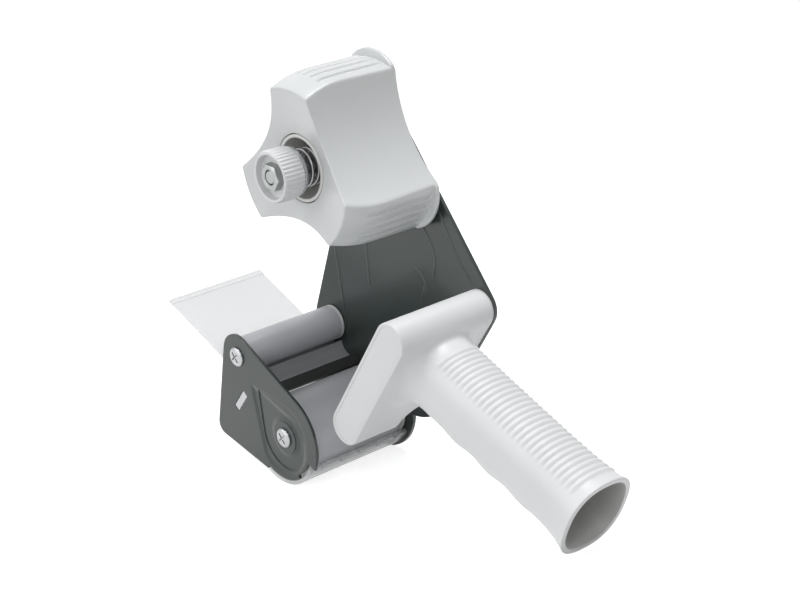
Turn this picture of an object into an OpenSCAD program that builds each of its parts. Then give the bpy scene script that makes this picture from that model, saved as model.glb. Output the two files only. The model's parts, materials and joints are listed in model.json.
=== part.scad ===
// Pistol-grip dispenser for 50 mm packing tape on 76 mm cores.
// The pieces are drawn in the side view of the gun, with the axis of the big
// roller as zero, X towards the grip, Y across from the outer face of the
// small plate, and Z up. The module stand() then tips the whole gun onto its
// guard and the end of its grip, over the middle of its base.

/* [Plates] */
// Clear width between the two plates, for tape 50 mm wide
plate_gap = 51.8; // [45:0.2:60]
// Thickness of the small side plate
side_t = 1.2; // [1:0.1:2]
// Thickness of the main plate
main_t = 1.6; // [1.2:0.1:2.4]
// Radius of both plates round the big roller
foot_round = 21.4; // [20:0.1:23]
// Radius of the side plate round the guide roller
guide_round = 9.9; // [9:0.1:11]
// Radius of the main plate round the guide roller
guide_shoulder = 12.6; // [11:0.1:14]
// Place of the front lower corner of both plates, ahead of the big roller
front_x = -42.4; // [-46:0.1:-40]
// Height of that corner
front_z = -11.2; // [-14:0.1:-10]
// Radius of that corner
front_round = 4.6; // [4:0.1:8]
// Radius of the main plate round the hub
top_round = 17.4; // [15:0.2:22]
// Place of the main plate's corner behind the crossbar
heel_x = 60.8; // [60:0.2:66]
// Height of that corner
heel_z = 65.6; // [64:0.2:70]
// Radius of that corner
heel_round = 8.6; // [8.4:0.1:12]
// Centre of the main plate's lower edge, behind the big roller
belly_x = 18.8; // [16:0.2:20]
// Height of that centre
belly_z = 26.7; // [24:0.2:28]
// Radius of that edge
belly_round = 26.2; // [26:0.2:28]
// Depth of the pressed drop shape on the side plate
emboss_depth = 0.4; // [0.2:0.1:0.6]

/* [Rollers] */
// Place of the guide roller ahead of the big roller
guide_x = -31.4; // [-33:0.1:-30]
// Height of the guide roller
guide_z = 26; // [25:0.1:27]
// Radius of the guide roller
guide_r = 7.7; // [6.5:0.1:8]
// Radius of the big roller
roller_r = 17.1; // [15:0.1:17.2]
// Wall of the big roller
roller_wall = 2.4; // [1.5:0.1:4]
// Wall of the guide roller
guide_wall = 1.6; // [1:0.1:2.4]
// Radius of both axles
axle_r = 3; // [2.6:0.1:3.4]
// Running clearance round every turning shaft
run_gap = 0.06; // [0.03:0.01:0.1]
// Gap between a roller's end and the plate beside it
end_gap = 0.4; // [0.3:0.05:0.6]
// Thickness of a roller cap's flange
cap_t = 1.4; // [0.8:0.1:2]
// Depth of the plug of a roller cap
cap_plug = 6; // [4:0.5:8]

/* [Hub] */
// Place of the hub behind the big roller
hub_x = 1.3; // [-1:0.1:3]
// Height of the hub
hub_z = 117.8; // [112:0.2:122]
// Radius of the lobes, which fit loosely in a 76 mm core
hub_r = 37.6; // [37:0.1:38]
// Distance from the axis to the outermost point of a lip, which stops the core
lip_r = 41.1; // [40:0.1:43]
// Radius of a lip's own round edge
lip_round = 18; // [17.4:0.2:24]
// Width of that lip
lip_w = 2; // [1.2:0.1:3]
// Radius of the lobes at their near end
nose_r = 33.4; // [32:0.1:36]
// Length of the lead-in curve at the near end
nose_len = 18; // [12:0.5:22]
// Length of the hub along its lobes
hub_len = 44.6; // [42:0.2:46]
// Distance from the main plate to the hub
hub_gap = 2.2; // [2:0.1:4]
// Depth of the dished near face
dish_depth = 4.6; // [4:0.1:9]
// Radius of the hollow between two lobes
waist_arc_r = 57; // [45:1:90]
// Distance from the axis to that hollow at the far end
waist_far = 23; // [21:0.1:27]
// Distance from the axis to that hollow at the near end
waist_near = 21.3; // [20.5:0.1:23]
// Wall of the hub's shell
hub_wall = 2.2; // [1.6:0.1:3]
// Turn of the first lobe
lobe_turn = 92; // [80:1:100]
// Grooves on each lobe
groove_count = 4; // [2:1:5]
// Width of a groove
groove_w = 1.6; // [0.8:0.1:2]
// Depth of a groove
groove_d = 0.7; // [0.3:0.1:1]

/* [Tape brake] */
// Radius of the spindle bolt
bolt_r = 3; // [2.6:0.1:4.2]
// Width across flats of its nut and head
hex_flats = 10; // [9:0.1:13]
// Radius of the knob
knob_r = 10.4; // [10:0.1:11.2]
// Length of the knob
knob_len = 10; // [9:0.1:14]
// Ridges round the knob
knurl_count = 40; // [24:1:48]
// Radius of the socket in the hub
socket_r = 14.2; // [13:0.1:14.6]
// Depth of that socket behind the dished face
socket_depth = 17.6; // [15:0.1:19]
// Wall of the white cup in the socket
cup_wall = 1.4; // [1:0.1:1.6]
// Running gap round that cup
cup_gap = 0.4; // [0.3:0.05:0.6]
// Thickness of the spring's wire
spring_wire = 1.6; // [1.2:0.1:1.8]
// Radius of the spring, to the middle of its wire
spring_r = 7.5; // [7:0.1:8]
// Turns of the spring
spring_turns = 5.5; // [3.5:0.5:6.5]
// Thickness of the steel thrust washer
thrust_t = 1.4; // [1:0.1:1.6]

/* [Handle] */
// Centre of the crossbar's upper round end
bar_x = 61.2; // [60.5:0.1:62]
// Height of that centre
bar_z = 65.3; // [64.5:0.1:66]
// Radius of the crossbar's ends
bar_r = 7.9; // [7.4:0.1:8]
// Distance between the centres of its two ends
bar_len = 55.2; // [52:0.1:56]
// Slope of the crossbar in the side view
bar_slope = 60.4; // [59:0.1:62]
// Gap between the crossbar's free end and the side plate's outer face
bar_near = 5; // [3:0.1:8]
// Wall of the crossbar and the grip
wall = 2.4; // [2:0.1:3]
// Length of the grip behind the crossbar
grip_len = 98.6; // [92:0.2:102]
// Height of the grip's axis over the crossbar's middle, where they meet
grip_rise = 6.9; // [5:0.1:8]
// Droop of the grip below the X axis
grip_droop = 17; // [14:0.5:20]
// Half the height of the grip in its middle
grip_up = 15.4; // [14:0.1:17]
// Half the width of the grip in its middle
grip_half_w = 14.2; // [12:0.1:16]
// Half the height of the flared end
mouth_up = 17.5; // [16:0.1:19]
// Half the width of the flared end
mouth_half_w = 16.5; // [14:0.1:18]
// Ribs across the back of the grip
rib_count = 27; // [20:1:30]
// Height of a rib
rib_h = 0.45; // [0.2:0.05:0.7]
// Depth of the finger hollows
finger_depth = 1.4; // [0.8:0.1:2]

/* [Flap, blade and guard] */
// Length of the clear flap
flap_len = 42.5; // [30:0.5:45]
// Thickness of the flap
flap_t = 0.8; // [0.5:0.1:1.2]
// Slope of the flap, above the forward direction
flap_slope = 18.7; // [15:0.1:22]
// Gap under the guide roller, where the tape passes
tape_gap = 1.7; // [1.4:0.1:2.5]
// Thickness of the guide plate
guide_plate_t = 1; // [0.8:0.1:1.2]
// Thickness of the blade holder
holder_t = 2; // [1.6:0.1:2.6]
// Thickness of the blade
blade_t = 0.8; // [0.6:0.1:1]
// Distance between two teeth of the blade
tooth_pitch = 2; // [1.5:0.1:3]
// Height of a tooth
tooth_h = 2.2; // [1.5:0.1:2.5]
// Centre of the clear guard, ahead of the roller's axis
guard_x = -3; // [-4:0.1:-2.6]
// Height of that centre
guard_z = 0.3; // [0:0.1:1]
// Inner radius of the guard
guard_r = 20.7; // [20.6:0.1:21.2]
// Thickness of the guard
guard_t = 1.6; // [1:0.1:1.8]
// Distance between the slits in the guard's rear edge
slit_pitch = 10; // [8:0.5:14]

/* [Screws] */
// Radius of the head of an axle screw
head_r = 4.3; // [3.8:0.1:4.6]
// Height of that head
head_h = 1.5; // [1.2:0.1:2.8]
// Radius of the axle screws
screw_r = 2; // [1.8:0.1:2.2]
// Radius of the head of a handle screw
handle_head_r = 4.6; // [4:0.1:5]
// Length of every screw under its head
screw_len = 10; // [8:0.5:12]

/* [Hidden] */

$fn = 64;
// Extra length of a cut beyond what it cuts.
over = 1;
// Clearance of a hole over the screw in it.
hole_gap = 0.1;
// Gap between two pieces that must not touch.
air = 0.3;
// How far a straight edge stands out from the round beside it.
edge_lap = 0.02;
// Gap between a washer and what turns on it.
face_gap = 0.2;

// Levels across the gun
main_y = side_t + plate_gap;
back_y = main_y + main_t;
roller_y0 = side_t + end_gap;
roller_y1 = main_y - end_gap;

// Colours
steel_grey = [0.33, 0.37, 0.36];
roller_grey = [0.58, 0.59, 0.62];
white_plastic = [0.9, 0.91, 0.92];
hub_grey = [0.8, 0.81, 0.82];
zinc = [0.75, 0.76, 0.78];
clear = [0.85, 0.9, 0.92, 0.5];
black = [0.1, 0.11, 0.11];

// A point at a distance and an angle from a centre, in the side view
function polar(r, a) = [r * cos(a), r * sin(a)];
// Length of a line in the side view
function dist(a, b) = norm([b[0] - a[0], b[1] - a[1]]);

// One end of the outer tangent that runs from round p to round q. A round is
// [x, z, radius], and the rounds of an outline follow each other clockwise.
function tangent_end(p, q, c) =
    let (len = dist(p, q),
        a = atan2(q[1] - p[1], q[0] - p[0]),
        b = asin((p[2] - q[2]) / len))
    [c[0] + c[2] * cos(a + 90 - b), c[1] + c[2] * sin(a + 90 - b)];

// Extrudes an outline of the side view from level y0 to level y1
module across(y0, y1) {
    translate([0, y1, 0])
        rotate([90, 0, 0])
            linear_extrude(y1 - y0) children();
}

// A rod along Y from level y0 to level y1
module rod(r, y0, y1) {
    translate([0, y1, 0])
        rotate([90, 0, 0])
            cylinder(r = r, h = y1 - y0);
}

// A plate between levels y0 and y1, from its corner rounds, listed clockwise.
// The straight edges stand out from the rounds by edge_lap, so that they meet
// them cleanly.
module slab(rounds, y0, y1) {
    count = len(rounds);
    wide = [for (c = rounds) [c[0], c[1], c[2] + edge_lap]];
    across(y0, y1)
        polygon([for (i = [0:count - 1])
            let (p = wide[i], q = wide[(i + 1) % count])
            each [tangent_end(p, q, p), tangent_end(p, q, q)]]);
    for (c = rounds)
        at(c[0], c[1]) rod(c[2], y0, y1);
}

// A tube along Y
module tube(r_out, r_in, y0, y1) {
    difference() {
        rod(r_out, y0, y1);
        rod(r_in, y0 - over, y1 + over);
    }
}

// Moves what follows to a place in the side view
module at(x, z) {
    translate([x, 0, z]) children();
}

// A wedge of the side view between two angles, which are under 180 apart
module wedge(r, a0, a1) {
    far = r / cos((a1 - a0) / 2);
    polygon([[0, 0], polar(far, a0), polar(far, (a0 + a1) / 2), polar(far, a1)]);
}

// A ring of the side view between two angles
module ring_part(r_out, r_in, a0, a1) {
    intersection() {
        difference() {
            circle(r_out);
            circle(r_in);
        }
        wedge(r_out + over, a0, a1);
    }
}

// The crossbar and the grip

bar_dir = polar(1, bar_slope);
bar_mid = [bar_x - bar_len / 2 * bar_dir[0], bar_z - bar_len / 2 * bar_dir[1]];
bar_low = [bar_x - bar_len * bar_dir[0], bar_z - bar_len * bar_dir[1]];
grip_y = (bar_near + main_y) / 2;
// Lean of the grip's rings, and of its open end
ring_lean = grip_droop + 1;
grip_root = [bar_mid[0] + bar_r, bar_mid[1] + grip_rise];
// Length along the axis at which it comes out of the crossbar's flat side
bar_up = [-bar_dir[1], bar_dir[0]];
root_depth = bar_r + (grip_root - bar_mid) * bar_up;
root_at = root_depth / cos(90 - bar_slope - grip_droop);
// The rings lean like the crossbar at the root, and turn over this length
lean_flare = 12;
// A place on the grip's axis, at a length behind the crossbar
function grip_at(s) = [grip_root[0] + s * cos(grip_droop), grip_root[1] - s * sin(grip_droop)];
mouth = grip_at(grip_len);
// A place in the plane of the grip's end, at a height over its axis
function mouth_at(h) = [mouth[0] + h * sin(ring_lean), mouth[1] + h * cos(ring_lean)];
// Length over which the grip flares at its open end
mouth_flare = 7;
// How far the grip spreads over the crossbar above, below and beside it, and
// the lengths of the grip that these flares take
root_up = 3.5;
root_down = 14;
root_side = 9;
flare_up = 6;
flare_down = 12;
flare_side = 10;
root_steps = 8;
// How far the grip's solid runs into the crossbar, and its spread-out edge
root_sink = 3.4;
edge_sink = 0.3;
// Growth of the grip's height towards the crossbar
root_rise = 2.6;
// The finger hollows, between plain lengths at the root and at the open end
finger_count = 3;
finger_root = 25.1;
finger_end = 16.5;
finger_pitch = (grip_len - finger_root - finger_end) / finger_count;
// The ribs, between plain lengths at the root and at the open end
rib_root = 16.6;
rib_end = 8;
rib_stretch = grip_len - rib_root - rib_end;
// Where a rib starts on the grip's side and where it is full, as shares of the
// way from the side to the top
rib_start_share = 0.68;
rib_full_share = 0.8;
// Roundness of the grip's section, 2 for an ellipse
grip_power = 2.5;
grip_sides = 28;

function fade(x, len) = exp(-max(0, x) / len);
function lean_at(s) = ring_lean + (90 - bar_slope - ring_lean) * fade(s - root_at, lean_flare);
function finger(s) =
    let (t = s - finger_root)
    t < 0 || t > finger_pitch * finger_count ? 0
        : finger_depth / 2 * (1 - cos(360 * t / finger_pitch));
function grip_top(s) = grip_up + (mouth_up - grip_up) * fade(grip_len - s, mouth_flare)
    + root_rise * fade(s, rib_stretch / 2);
function grip_bottom(s) = grip_up - finger_depth + finger(s)
    + (mouth_up - grip_up + finger_depth) * fade(grip_len - s, mouth_flare);
function grip_side(s) = grip_half_w + (mouth_half_w - grip_half_w) * fade(grip_len - s, mouth_flare);
function power(x) = sign(x) * pow(abs(x), 2 / grip_power);
function rib_share(a) =
    max(0, min(1, (sin(a) - rib_start_share) / (rib_full_share - rib_start_share)));

// A place on the grip at angle a round it, thinner by inset, with lift of a rib on top
function grip_point(s, a, inset, lift) =
    let (c = grip_at(s),
        up = sin(a) > 0 ? grip_top(s) : grip_bottom(s),
        more = lift * rib_share(a) - inset,
        h = (up + more) * power(sin(a)),
        w = (grip_side(s) + more) * power(cos(a)))
    [c[0] + h * sin(lean_at(s)), grip_y + w, c[1] + h * cos(lean_at(s))];
function grip_ring(s, inset, lift) =
    [for (i = [0:grip_sides - 1]) grip_point(s, 360 * i / grip_sides, inset, lift)];

// Height of the crossbar's surface over its middle plane, at a length along it
function bar_out(t) = sqrt(max(0, pow(bar_r, 2) - pow(max(0, abs(t) - bar_len / 2), 2)));
// A place at a length along the crossbar, a level across the gun and a height
// over the crossbar's middle plane
function bar_place(t, y, out) = [bar_mid[0] + t * bar_dir[0] - out * bar_up[0], y,
    bar_mid[1] + t * bar_dir[1] - out * bar_up[1]];
// The grip's foot on the crossbar at angle a, spread by a share of its flare
function foot_along(a, spread) =
    let (p = grip_point(root_at, a, 0, 0))
    ([p[0], p[2]] - bar_mid) * bar_dir + spread * sin(a) * (sin(a) > 0 ? root_up : root_down);
function foot_across(a, spread) = grip_point(root_at, a, 0, 0)[1] + spread * cos(a) * root_side;
function foot_point(a, spread, sink) =
    let (t = foot_along(a, spread))
    bar_place(t, foot_across(a, spread), bar_out(t) - sink);
// A ring of the flare, a share of the way from the crossbar to the plain grip
function flare_ring(share) =
    [for (i = [0:grip_sides - 1])
        let (a = 360 * i / grip_sides,
            reach = flare_side * pow(cos(a), 2) + (sin(a) > 0 ? flare_up : flare_down) * pow(sin(a), 2))
        pow(1 - share, 2) * foot_point(a, 1, edge_sink)
            + 2 * share * (1 - share) * foot_point(a, 0, edge_sink)
            + pow(share, 2) * grip_point(root_at + reach, a, 0, 0)];
// The flat ring inside the crossbar where the solid starts
function sunk_ring() =
    [for (i = [0:grip_sides - 1])
        let (a = 360 * i / grip_sides)
        bar_place(foot_along(a, 1), foot_across(a, 1), bar_r - root_sink)];

// A closed solid through rings of equally many points
module loft(rings) {
    n = len(rings[0]);
    count = len(rings);
    polyhedron(
        points = [for (r = rings) each r],
        faces = [
            [for (i = [0:n - 1]) i],
            for (k = [0:count - 2], i = [0:n - 1])
                let (a = k * n + i, b = k * n + (i + 1) % n)
                each [[a, a + n, b], [b, a + n, b + n]],
            [for (i = [n - 1:-1:0]) (count - 1) * n + i]]);
}

// Places of the outer rings along the axis, each with 1 on a rib and 0 beside it
half_ribs = 2 * rib_count;
rib_step = rib_stretch / half_ribs;
grip_stations = concat(
    [for (i = [0:half_ribs]) [rib_root + i * rib_step, i % 2]],
    [for (i = [3:-1:0]) [grip_len - i * rib_end / 4, 0]]);
// Inner end of the grip's hollow, and rings along it
hollow_start = 18;
hollow_steps = 8;
hollow_step = (grip_len - hollow_start) / hollow_steps;

module grip_solid() {
    loft(concat(
        [sunk_ring()],
        [for (i = [0:root_steps]) flare_ring(i / root_steps)],
        [for (p = grip_stations) grip_ring(p[0], 0, p[1] * rib_h)],
        [for (i = [0:hollow_steps])
            grip_ring(grip_len - i * hollow_step, wall + finger_depth / 2, 0)]));
}

// The crossbar's shape between two levels, larger or smaller by more
module bar_slab(more, y0, y1) {
    slab([[bar_x, bar_z, bar_r + more], [bar_low[0], bar_low[1], bar_r + more]], y0, y1);
}

// Places of the handle screws along the crossbar, from its middle
screw_spread = bar_len * 0.34;
module at_bar_screws() {
    for (side = [-1, 1])
        at(bar_mid[0] + side * screw_spread * bar_dir[0], bar_mid[1] + side * screw_spread * bar_dir[1])
            children();
}

// Depth at which the end panel sits, and its thickness
panel_sink = 0.6;
panel_t = 1.8;
panel_rim = 1.6;
// Solid end of the crossbar that takes the screws
block_floor = 3;
bar_block = screw_len + block_floor;
// Arched relief under the crossbar, beside the main plate
arch_r = 11;
arch_edge = 3.4;
arch_y = main_y - arch_r - arch_edge;
arch_rise = 2;

module handle() {
    color(white_plastic)
    difference() {
        union() {
            bar_slab(0, bar_near, main_y);
            grip_solid();
        }
        bar_slab(-wall, bar_near + panel_sink + panel_t, main_y - bar_block);
        bar_slab(-panel_rim, bar_near - over, bar_near + panel_sink + panel_t);
        at_bar_screws() rod(screw_r + hole_gap, main_y - screw_len - over, main_y + over);
        translate([bar_low[0], arch_y, bar_low[1]])
            rotate([0, 90 - bar_slope, 0])
                translate([0, 0, -bar_r + arch_rise])
                    rotate([0, 90, 0])
                        cylinder(r = arch_r, h = 4 * bar_r, center = true);
    }
}

module end_panel() {
    color(hub_grey)
    bar_slab(-panel_rim - face_gap, bar_near + panel_sink, bar_near + panel_sink + panel_t);
}

// A screw along Y whose head stands on level y0 and faces the side of sign dir
module pan_screw(radius, head, height, length, y0, dir) {
    slot_w = radius * 0.5;
    slot_d = height * 0.5;
    difference() {
        union() {
            tip = y0 - dir * length;
            top = y0 + dir * height;
            rod(radius, min(tip, y0), max(tip, y0));
            rod(head, min(y0, top), max(y0, top));
        }
        for (turn = [0, 90])
            translate([0, y0 + dir * height, 0])
                rotate([0, turn + 45, 0])
                    cube([head * 1.1, slot_d * 2, slot_w], center = true);
    }
}

module handle_screws() {
    color(zinc)
    at_bar_screws() pan_screw(screw_r, handle_head_r, head_h, screw_len, back_y, 1);
}

// Plates

foot = [0, 0, foot_round];
guide_corner = [guide_x, guide_z, guide_round];
front_corner = [front_x, front_z, front_round];
side_rounds = [guide_corner, foot, front_corner];
// The main plate's upper part, and its foot behind the guide roller
upper_rounds = [[guide_x, guide_z, guide_shoulder], [hub_x, hub_z, top_round],
    [heel_x, heel_z, heel_round], [belly_x, belly_z, belly_round]];
foot_rounds = [[guide_x, guide_z, guide_shoulder], foot, front_corner];

// The blade holder's centre line, from its lower end to its upper end
holder_ahead = 0.6;
holder_below = 2.2;
holder_low = [front_x - holder_ahead, front_z - holder_below];
holder_slope = 55.4;
holder_len = 30;
tab_share = 0.76;
tab_len = 11;
tab_t = 3.2;
function holder_point(s) = [holder_low[0] + s * holder_len * cos(holder_slope),
    holder_low[1] + s * holder_len * sin(holder_slope)];
module holder_rect(s0, s1, t) {
    translate(holder_point(s0))
        rotate(holder_slope)
            translate([0, -t / 2])
                square([(s1 - s0) * holder_len, t]);
}
// The section of a tab of the holder, larger by more all round
module tab_section(more) {
    translate(holder_point(tab_share))
        rotate(holder_slope)
            square([tab_len + 2 * more, tab_t + 2 * more], center = true);
}
module tab_hole(y0, y1) {
    across(y0, y1) tab_section(hole_gap);
}

// Angles of the guard's two edges, and of the room that the side plate makes for it
guard_front_angle = -150;
guard_rear_angle = -24;
room_angle = -114;
room_more_angle = 2;
room_rear_angle = guard_rear_angle + 2 * room_more_angle;
// Notch of the side plate over the guard's rear edge
notch_angle = -58;
notch_gap = 4.6;

// Room in the side plate for the guard
module guard_cut() {
    across(-over, side_t + over) {
        translate([guard_x, guard_z])
            ring_part(guard_r + foot_round, guard_r - air, room_angle, room_rear_angle);
        ring_part(foot_round * 2, foot_round - notch_gap, notch_angle, room_rear_angle);
    }
}

// The drop shape pressed into the side plate
drop_tip = [-15.8, 14.2, 2];
drop_round = 15;

module side_plate() {
    color(steel_grey)
    difference() {
        slab(side_rounds, 0, side_t);
        guard_cut();
        tab_hole(-over, side_t + over);
        rod(screw_r + hole_gap, -over, side_t + over);
        at(guide_x, guide_z) rod(screw_r + hole_gap, -over, side_t + over);
        difference() {
            slab([drop_tip, [0, 0, drop_round]], -over, emboss_depth);
            rod(head_r * 1.7, -over, emboss_depth);
        }
    }
}

// The black bar between the rollers, square to the big roller
bar_screw_r = 1.3;
bar_w = 3;
bar_deep = 4.6;
bar_angle = 138;
bar_gap = 1.2;
bar_screw_at = polar(roller_r + bar_gap + bar_deep / 2, bar_angle);

module main_plate() {
    color(steel_grey)
    difference() {
        union() {
            slab(upper_rounds, main_y, back_y);
            slab(foot_rounds, main_y, back_y);
        }
        tab_hole(main_y - over, back_y + over);
        rod(screw_r + hole_gap, main_y - over, back_y + over);
        at(guide_x, guide_z) rod(screw_r + hole_gap, main_y - over, back_y + over);
        at(hub_x, hub_z) rod(bolt_r + hole_gap, main_y - over, back_y + over);
        at(bar_screw_at[0], bar_screw_at[1]) rod(bar_screw_r + hole_gap, main_y - over, back_y + over);
        at_bar_screws() rod(screw_r + hole_gap, main_y - over, back_y + over);
    }
}

// Rollers and their axles

// Depth of the tapped hole in an axle's end
tap_depth = screw_len;

module axle() {
    difference() {
        rod(axle_r, side_t, main_y);
        rod(screw_r + hole_gap, side_t - over, side_t + tap_depth);
        rod(screw_r + hole_gap, main_y - tap_depth, main_y + over);
    }
}

module guide_axle() {
    color(zinc) at(guide_x, guide_z) axle();
}

module roller_axle() {
    color(zinc) axle();
}

module axle_screws() {
    color(zinc)
    for (place = [[0, 0], [guide_x, guide_z]])
        at(place[0], place[1]) {
            pan_screw(screw_r, head_r, head_h, screw_len, 0, -1);
            pan_screw(screw_r, head_r, head_h, screw_len, back_y, 1);
        }
}

module roller_caps(r, bore_wall) {
    bore = axle_r + run_gap;
    plug = r - bore_wall - face_gap;
    tube(r, bore, roller_y0, roller_y0 + cap_t);
    tube(plug, bore, roller_y0, roller_y0 + cap_t + cap_plug);
    tube(r, bore, roller_y1 - cap_t, roller_y1);
    tube(plug, bore, roller_y1 - cap_t - cap_plug, roller_y1);
}

module guide_roller() {
    color(roller_grey)
    at(guide_x, guide_z) tube(guide_r, guide_r - guide_wall, roller_y0 + cap_t, roller_y1 - cap_t);
}

module guide_roller_caps() {
    color(hub_grey) at(guide_x, guide_z) roller_caps(guide_r, guide_wall);
}

module application_roller() {
    color(roller_grey) tube(roller_r, roller_r - roller_wall, roller_y0 + cap_t, roller_y1 - cap_t);
}

module application_roller_caps() {
    color(white_plastic) roller_caps(roller_r, roller_wall);
}

// Guide plate, flap and what holds it

flap_dir = polar(1, 180 - flap_slope);
// Distance from the guide roller's axis to the flap's middle plane
flap_drop = guide_r + tape_gap + flap_t / 2;
flap_foot = [guide_x - flap_drop * sin(flap_slope), guide_z - flap_drop * cos(flap_slope)];
// Lengths along the flap's plane, ahead of that foot
hinge_s = 9.2;
sheet_end = hinge_s - flap_t / 2 - air;
clamp_w = 6;
function flap_at(s) = [flap_foot[0] + s * flap_dir[0], flap_foot[1] + s * flap_dir[1]];
flap_hinge = flap_at(hinge_s);
flap_end = hinge_s + flap_len;
flap_y0 = side_t + end_gap;
flap_far_gap = 1.4;
flap_y1 = main_y - flap_far_gap;

// A strip of the side view along the flap's plane, from s0 to s1, between two heights
module flap_strip(s0, s1, low, high) {
    translate(flap_at(s0))
        rotate(180 - flap_slope)
            translate([0, -high])
                square([s1 - s0, high - low]);
}

// The trough behind the guide roller. Its round runs into the flat sheet.
trough_behind = 11.8;
trough_below = 5.8;
trough = [guide_x + trough_behind, guide_z - trough_below];
trough_s = (trough - flap_foot) * flap_dir;
trough_r = (trough - flap_foot) * polar(1, 90 - flap_slope) - guide_plate_t / 2;
trough_low_angle = 195;
trough_high_angle = 268;

module guide_plate() {
    half = guide_plate_t / 2;
    color(roller_grey)
    difference() {
        across(side_t, main_y) {
            flap_strip(trough_s, sheet_end, -half, half);
            translate(trough)
                ring_part(trough_r + half, trough_r - half, trough_low_angle, trough_high_angle);
        }
        at_rivets() cylinder(r = rivet_r + hole_gap, h = 4 * rivet_r, center = true);
    }
}

rivet_r = 1.2;
rivet_head_r = 2.2;
rivet_head_h = 0.6;
rivet_count = 3;
module at_rivets() {
    c = flap_at(sheet_end - clamp_w / 2);
    for (i = [0:rivet_count - 1])
        translate([c[0], side_t + plate_gap * (i + 0.5) / rivet_count, c[1]])
            rotate([0, flap_slope, 0])
                children();
}

module flap_clamp() {
    half = guide_plate_t / 2;
    color(zinc)
    difference() {
        across(side_t + end_gap, main_y - end_gap)
            flap_strip(sheet_end - clamp_w, sheet_end, -half - guide_plate_t, -half);
        at_rivets() cylinder(r = rivet_r + hole_gap, h = 4 * rivet_r, center = true);
    }
}

module flap_rivets() {
    half = guide_plate_t / 2;
    color(zinc)
    at_rivets() {
        translate([0, 0, half]) cylinder(r = rivet_head_r, h = rivet_head_h);
        translate([0, 0, -half - guide_plate_t]) {
            cylinder(r = rivet_r, h = 2 * half + guide_plate_t);
            translate([0, 0, -rivet_head_h]) cylinder(r = rivet_head_r, h = rivet_head_h);
        }
    }
}

flap_lip_w = 3;
flap_lip_t = 1.6;
module flap() {
    color(clear)
    across(flap_y0, flap_y1) {
        translate(flap_hinge) circle(flap_t / 2);
        flap_strip(hinge_s, flap_end - flap_lip_w / 2, -flap_t / 2, flap_t / 2);
        flap_strip(flap_end - flap_lip_w, flap_end, -flap_lip_t / 2, flap_lip_t / 2);
    }
}

// Blade, its holder and the brake bar

module blade_holder() {
    color(zinc)
    difference() {
        union() {
            across(side_t, main_y) holder_rect(0, 1, holder_t);
            across(0, back_y) tab_section(0);
        }
        at_blade_screws() cylinder(r = blade_screw_r + hole_gap, h = 4 * holder_t, center = true);
    }
}

blade_screw_r = 1.5;
blade_screw_head = 2.8;
blade_screw_head_h = 1.6;
blade_w = 12;
// Gap between the blade's ends and the plates
blade_gap = 0.5;

// Places of the blade's screws, with Z square to the blade, pointing ahead
module at_blade_screws() {
    c = holder_point(0.24);
    for (share = [0.25, 0.75])
        translate([c[0], side_t + plate_gap * share, c[1]])
            rotate([0, -holder_slope, 0])
                children();
}

module blade() {
    teeth = floor((plate_gap - 2 * blade_gap) / tooth_pitch);
    blade_len = teeth * tooth_pitch;
    color(zinc)
    difference() {
        translate([holder_low[0], side_t + (plate_gap - blade_len) / 2, holder_low[1]])
            rotate([0, -holder_slope, 0])
                translate([0, 0, holder_t / 2])
                    linear_extrude(blade_t)
                        polygon(concat(
                            [[blade_w, 0], [blade_w, blade_len]],
                            [for (i = [teeth:-1:1])
                                each [[0, i * tooth_pitch], [-tooth_h, (i - 0.5) * tooth_pitch]]],
                            [[0, 0]]));
        at_blade_screws() cylinder(r = blade_screw_r + hole_gap, h = 4 * holder_t, center = true);
    }
}

module blade_screws() {
    color(zinc)
    at_blade_screws() {
        translate([0, 0, holder_t / 2 + blade_t]) cylinder(r = blade_screw_head, h = blade_screw_head_h);
        translate([0, 0, -holder_t / 2 - over]) cylinder(r = blade_screw_r, h = holder_t + blade_t + over);
    }
}

module brake_bar() {
    color(black)
    difference() {
        across(side_t, main_y)
            translate([bar_screw_at[0], bar_screw_at[1]])
                rotate(bar_angle)
                    square([bar_deep, bar_w], center = true);
        at(bar_screw_at[0], bar_screw_at[1])
            rod(bar_screw_r + hole_gap, main_y - screw_len - over, main_y + over);
    }
}

module bar_screw() {
    color(zinc)
    at(bar_screw_at[0], bar_screw_at[1])
        pan_screw(bar_screw_r, bar_screw_r * 2, head_h, screw_len, back_y, 1);
}

slit_w = 0.8;
slit_len = 1.8;
module roller_guard() {
    color(clear)
    difference() {
        union() {
            across(side_t, main_y)
                translate([guard_x, guard_z])
                    ring_part(guard_r + guard_t, guard_r, guard_front_angle, guard_rear_angle);
            across(0, main_y)
                translate([guard_x, guard_z])
                    ring_part(guard_r + guard_t, guard_r, room_angle + room_more_angle, guard_rear_angle);
        }
        for (y = [side_t + slit_pitch / 2 : slit_pitch : main_y - slit_pitch / 4])
            translate([guard_x, y, guard_z])
                rotate([0, -guard_rear_angle, 0])
                    translate([guard_r + guard_t / 2, 0, 0])
                        cube([3 * guard_t, slit_w, 2 * slit_len], center = true);
    }
}

// Spindle and tape brake, from the main plate towards the knob

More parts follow.
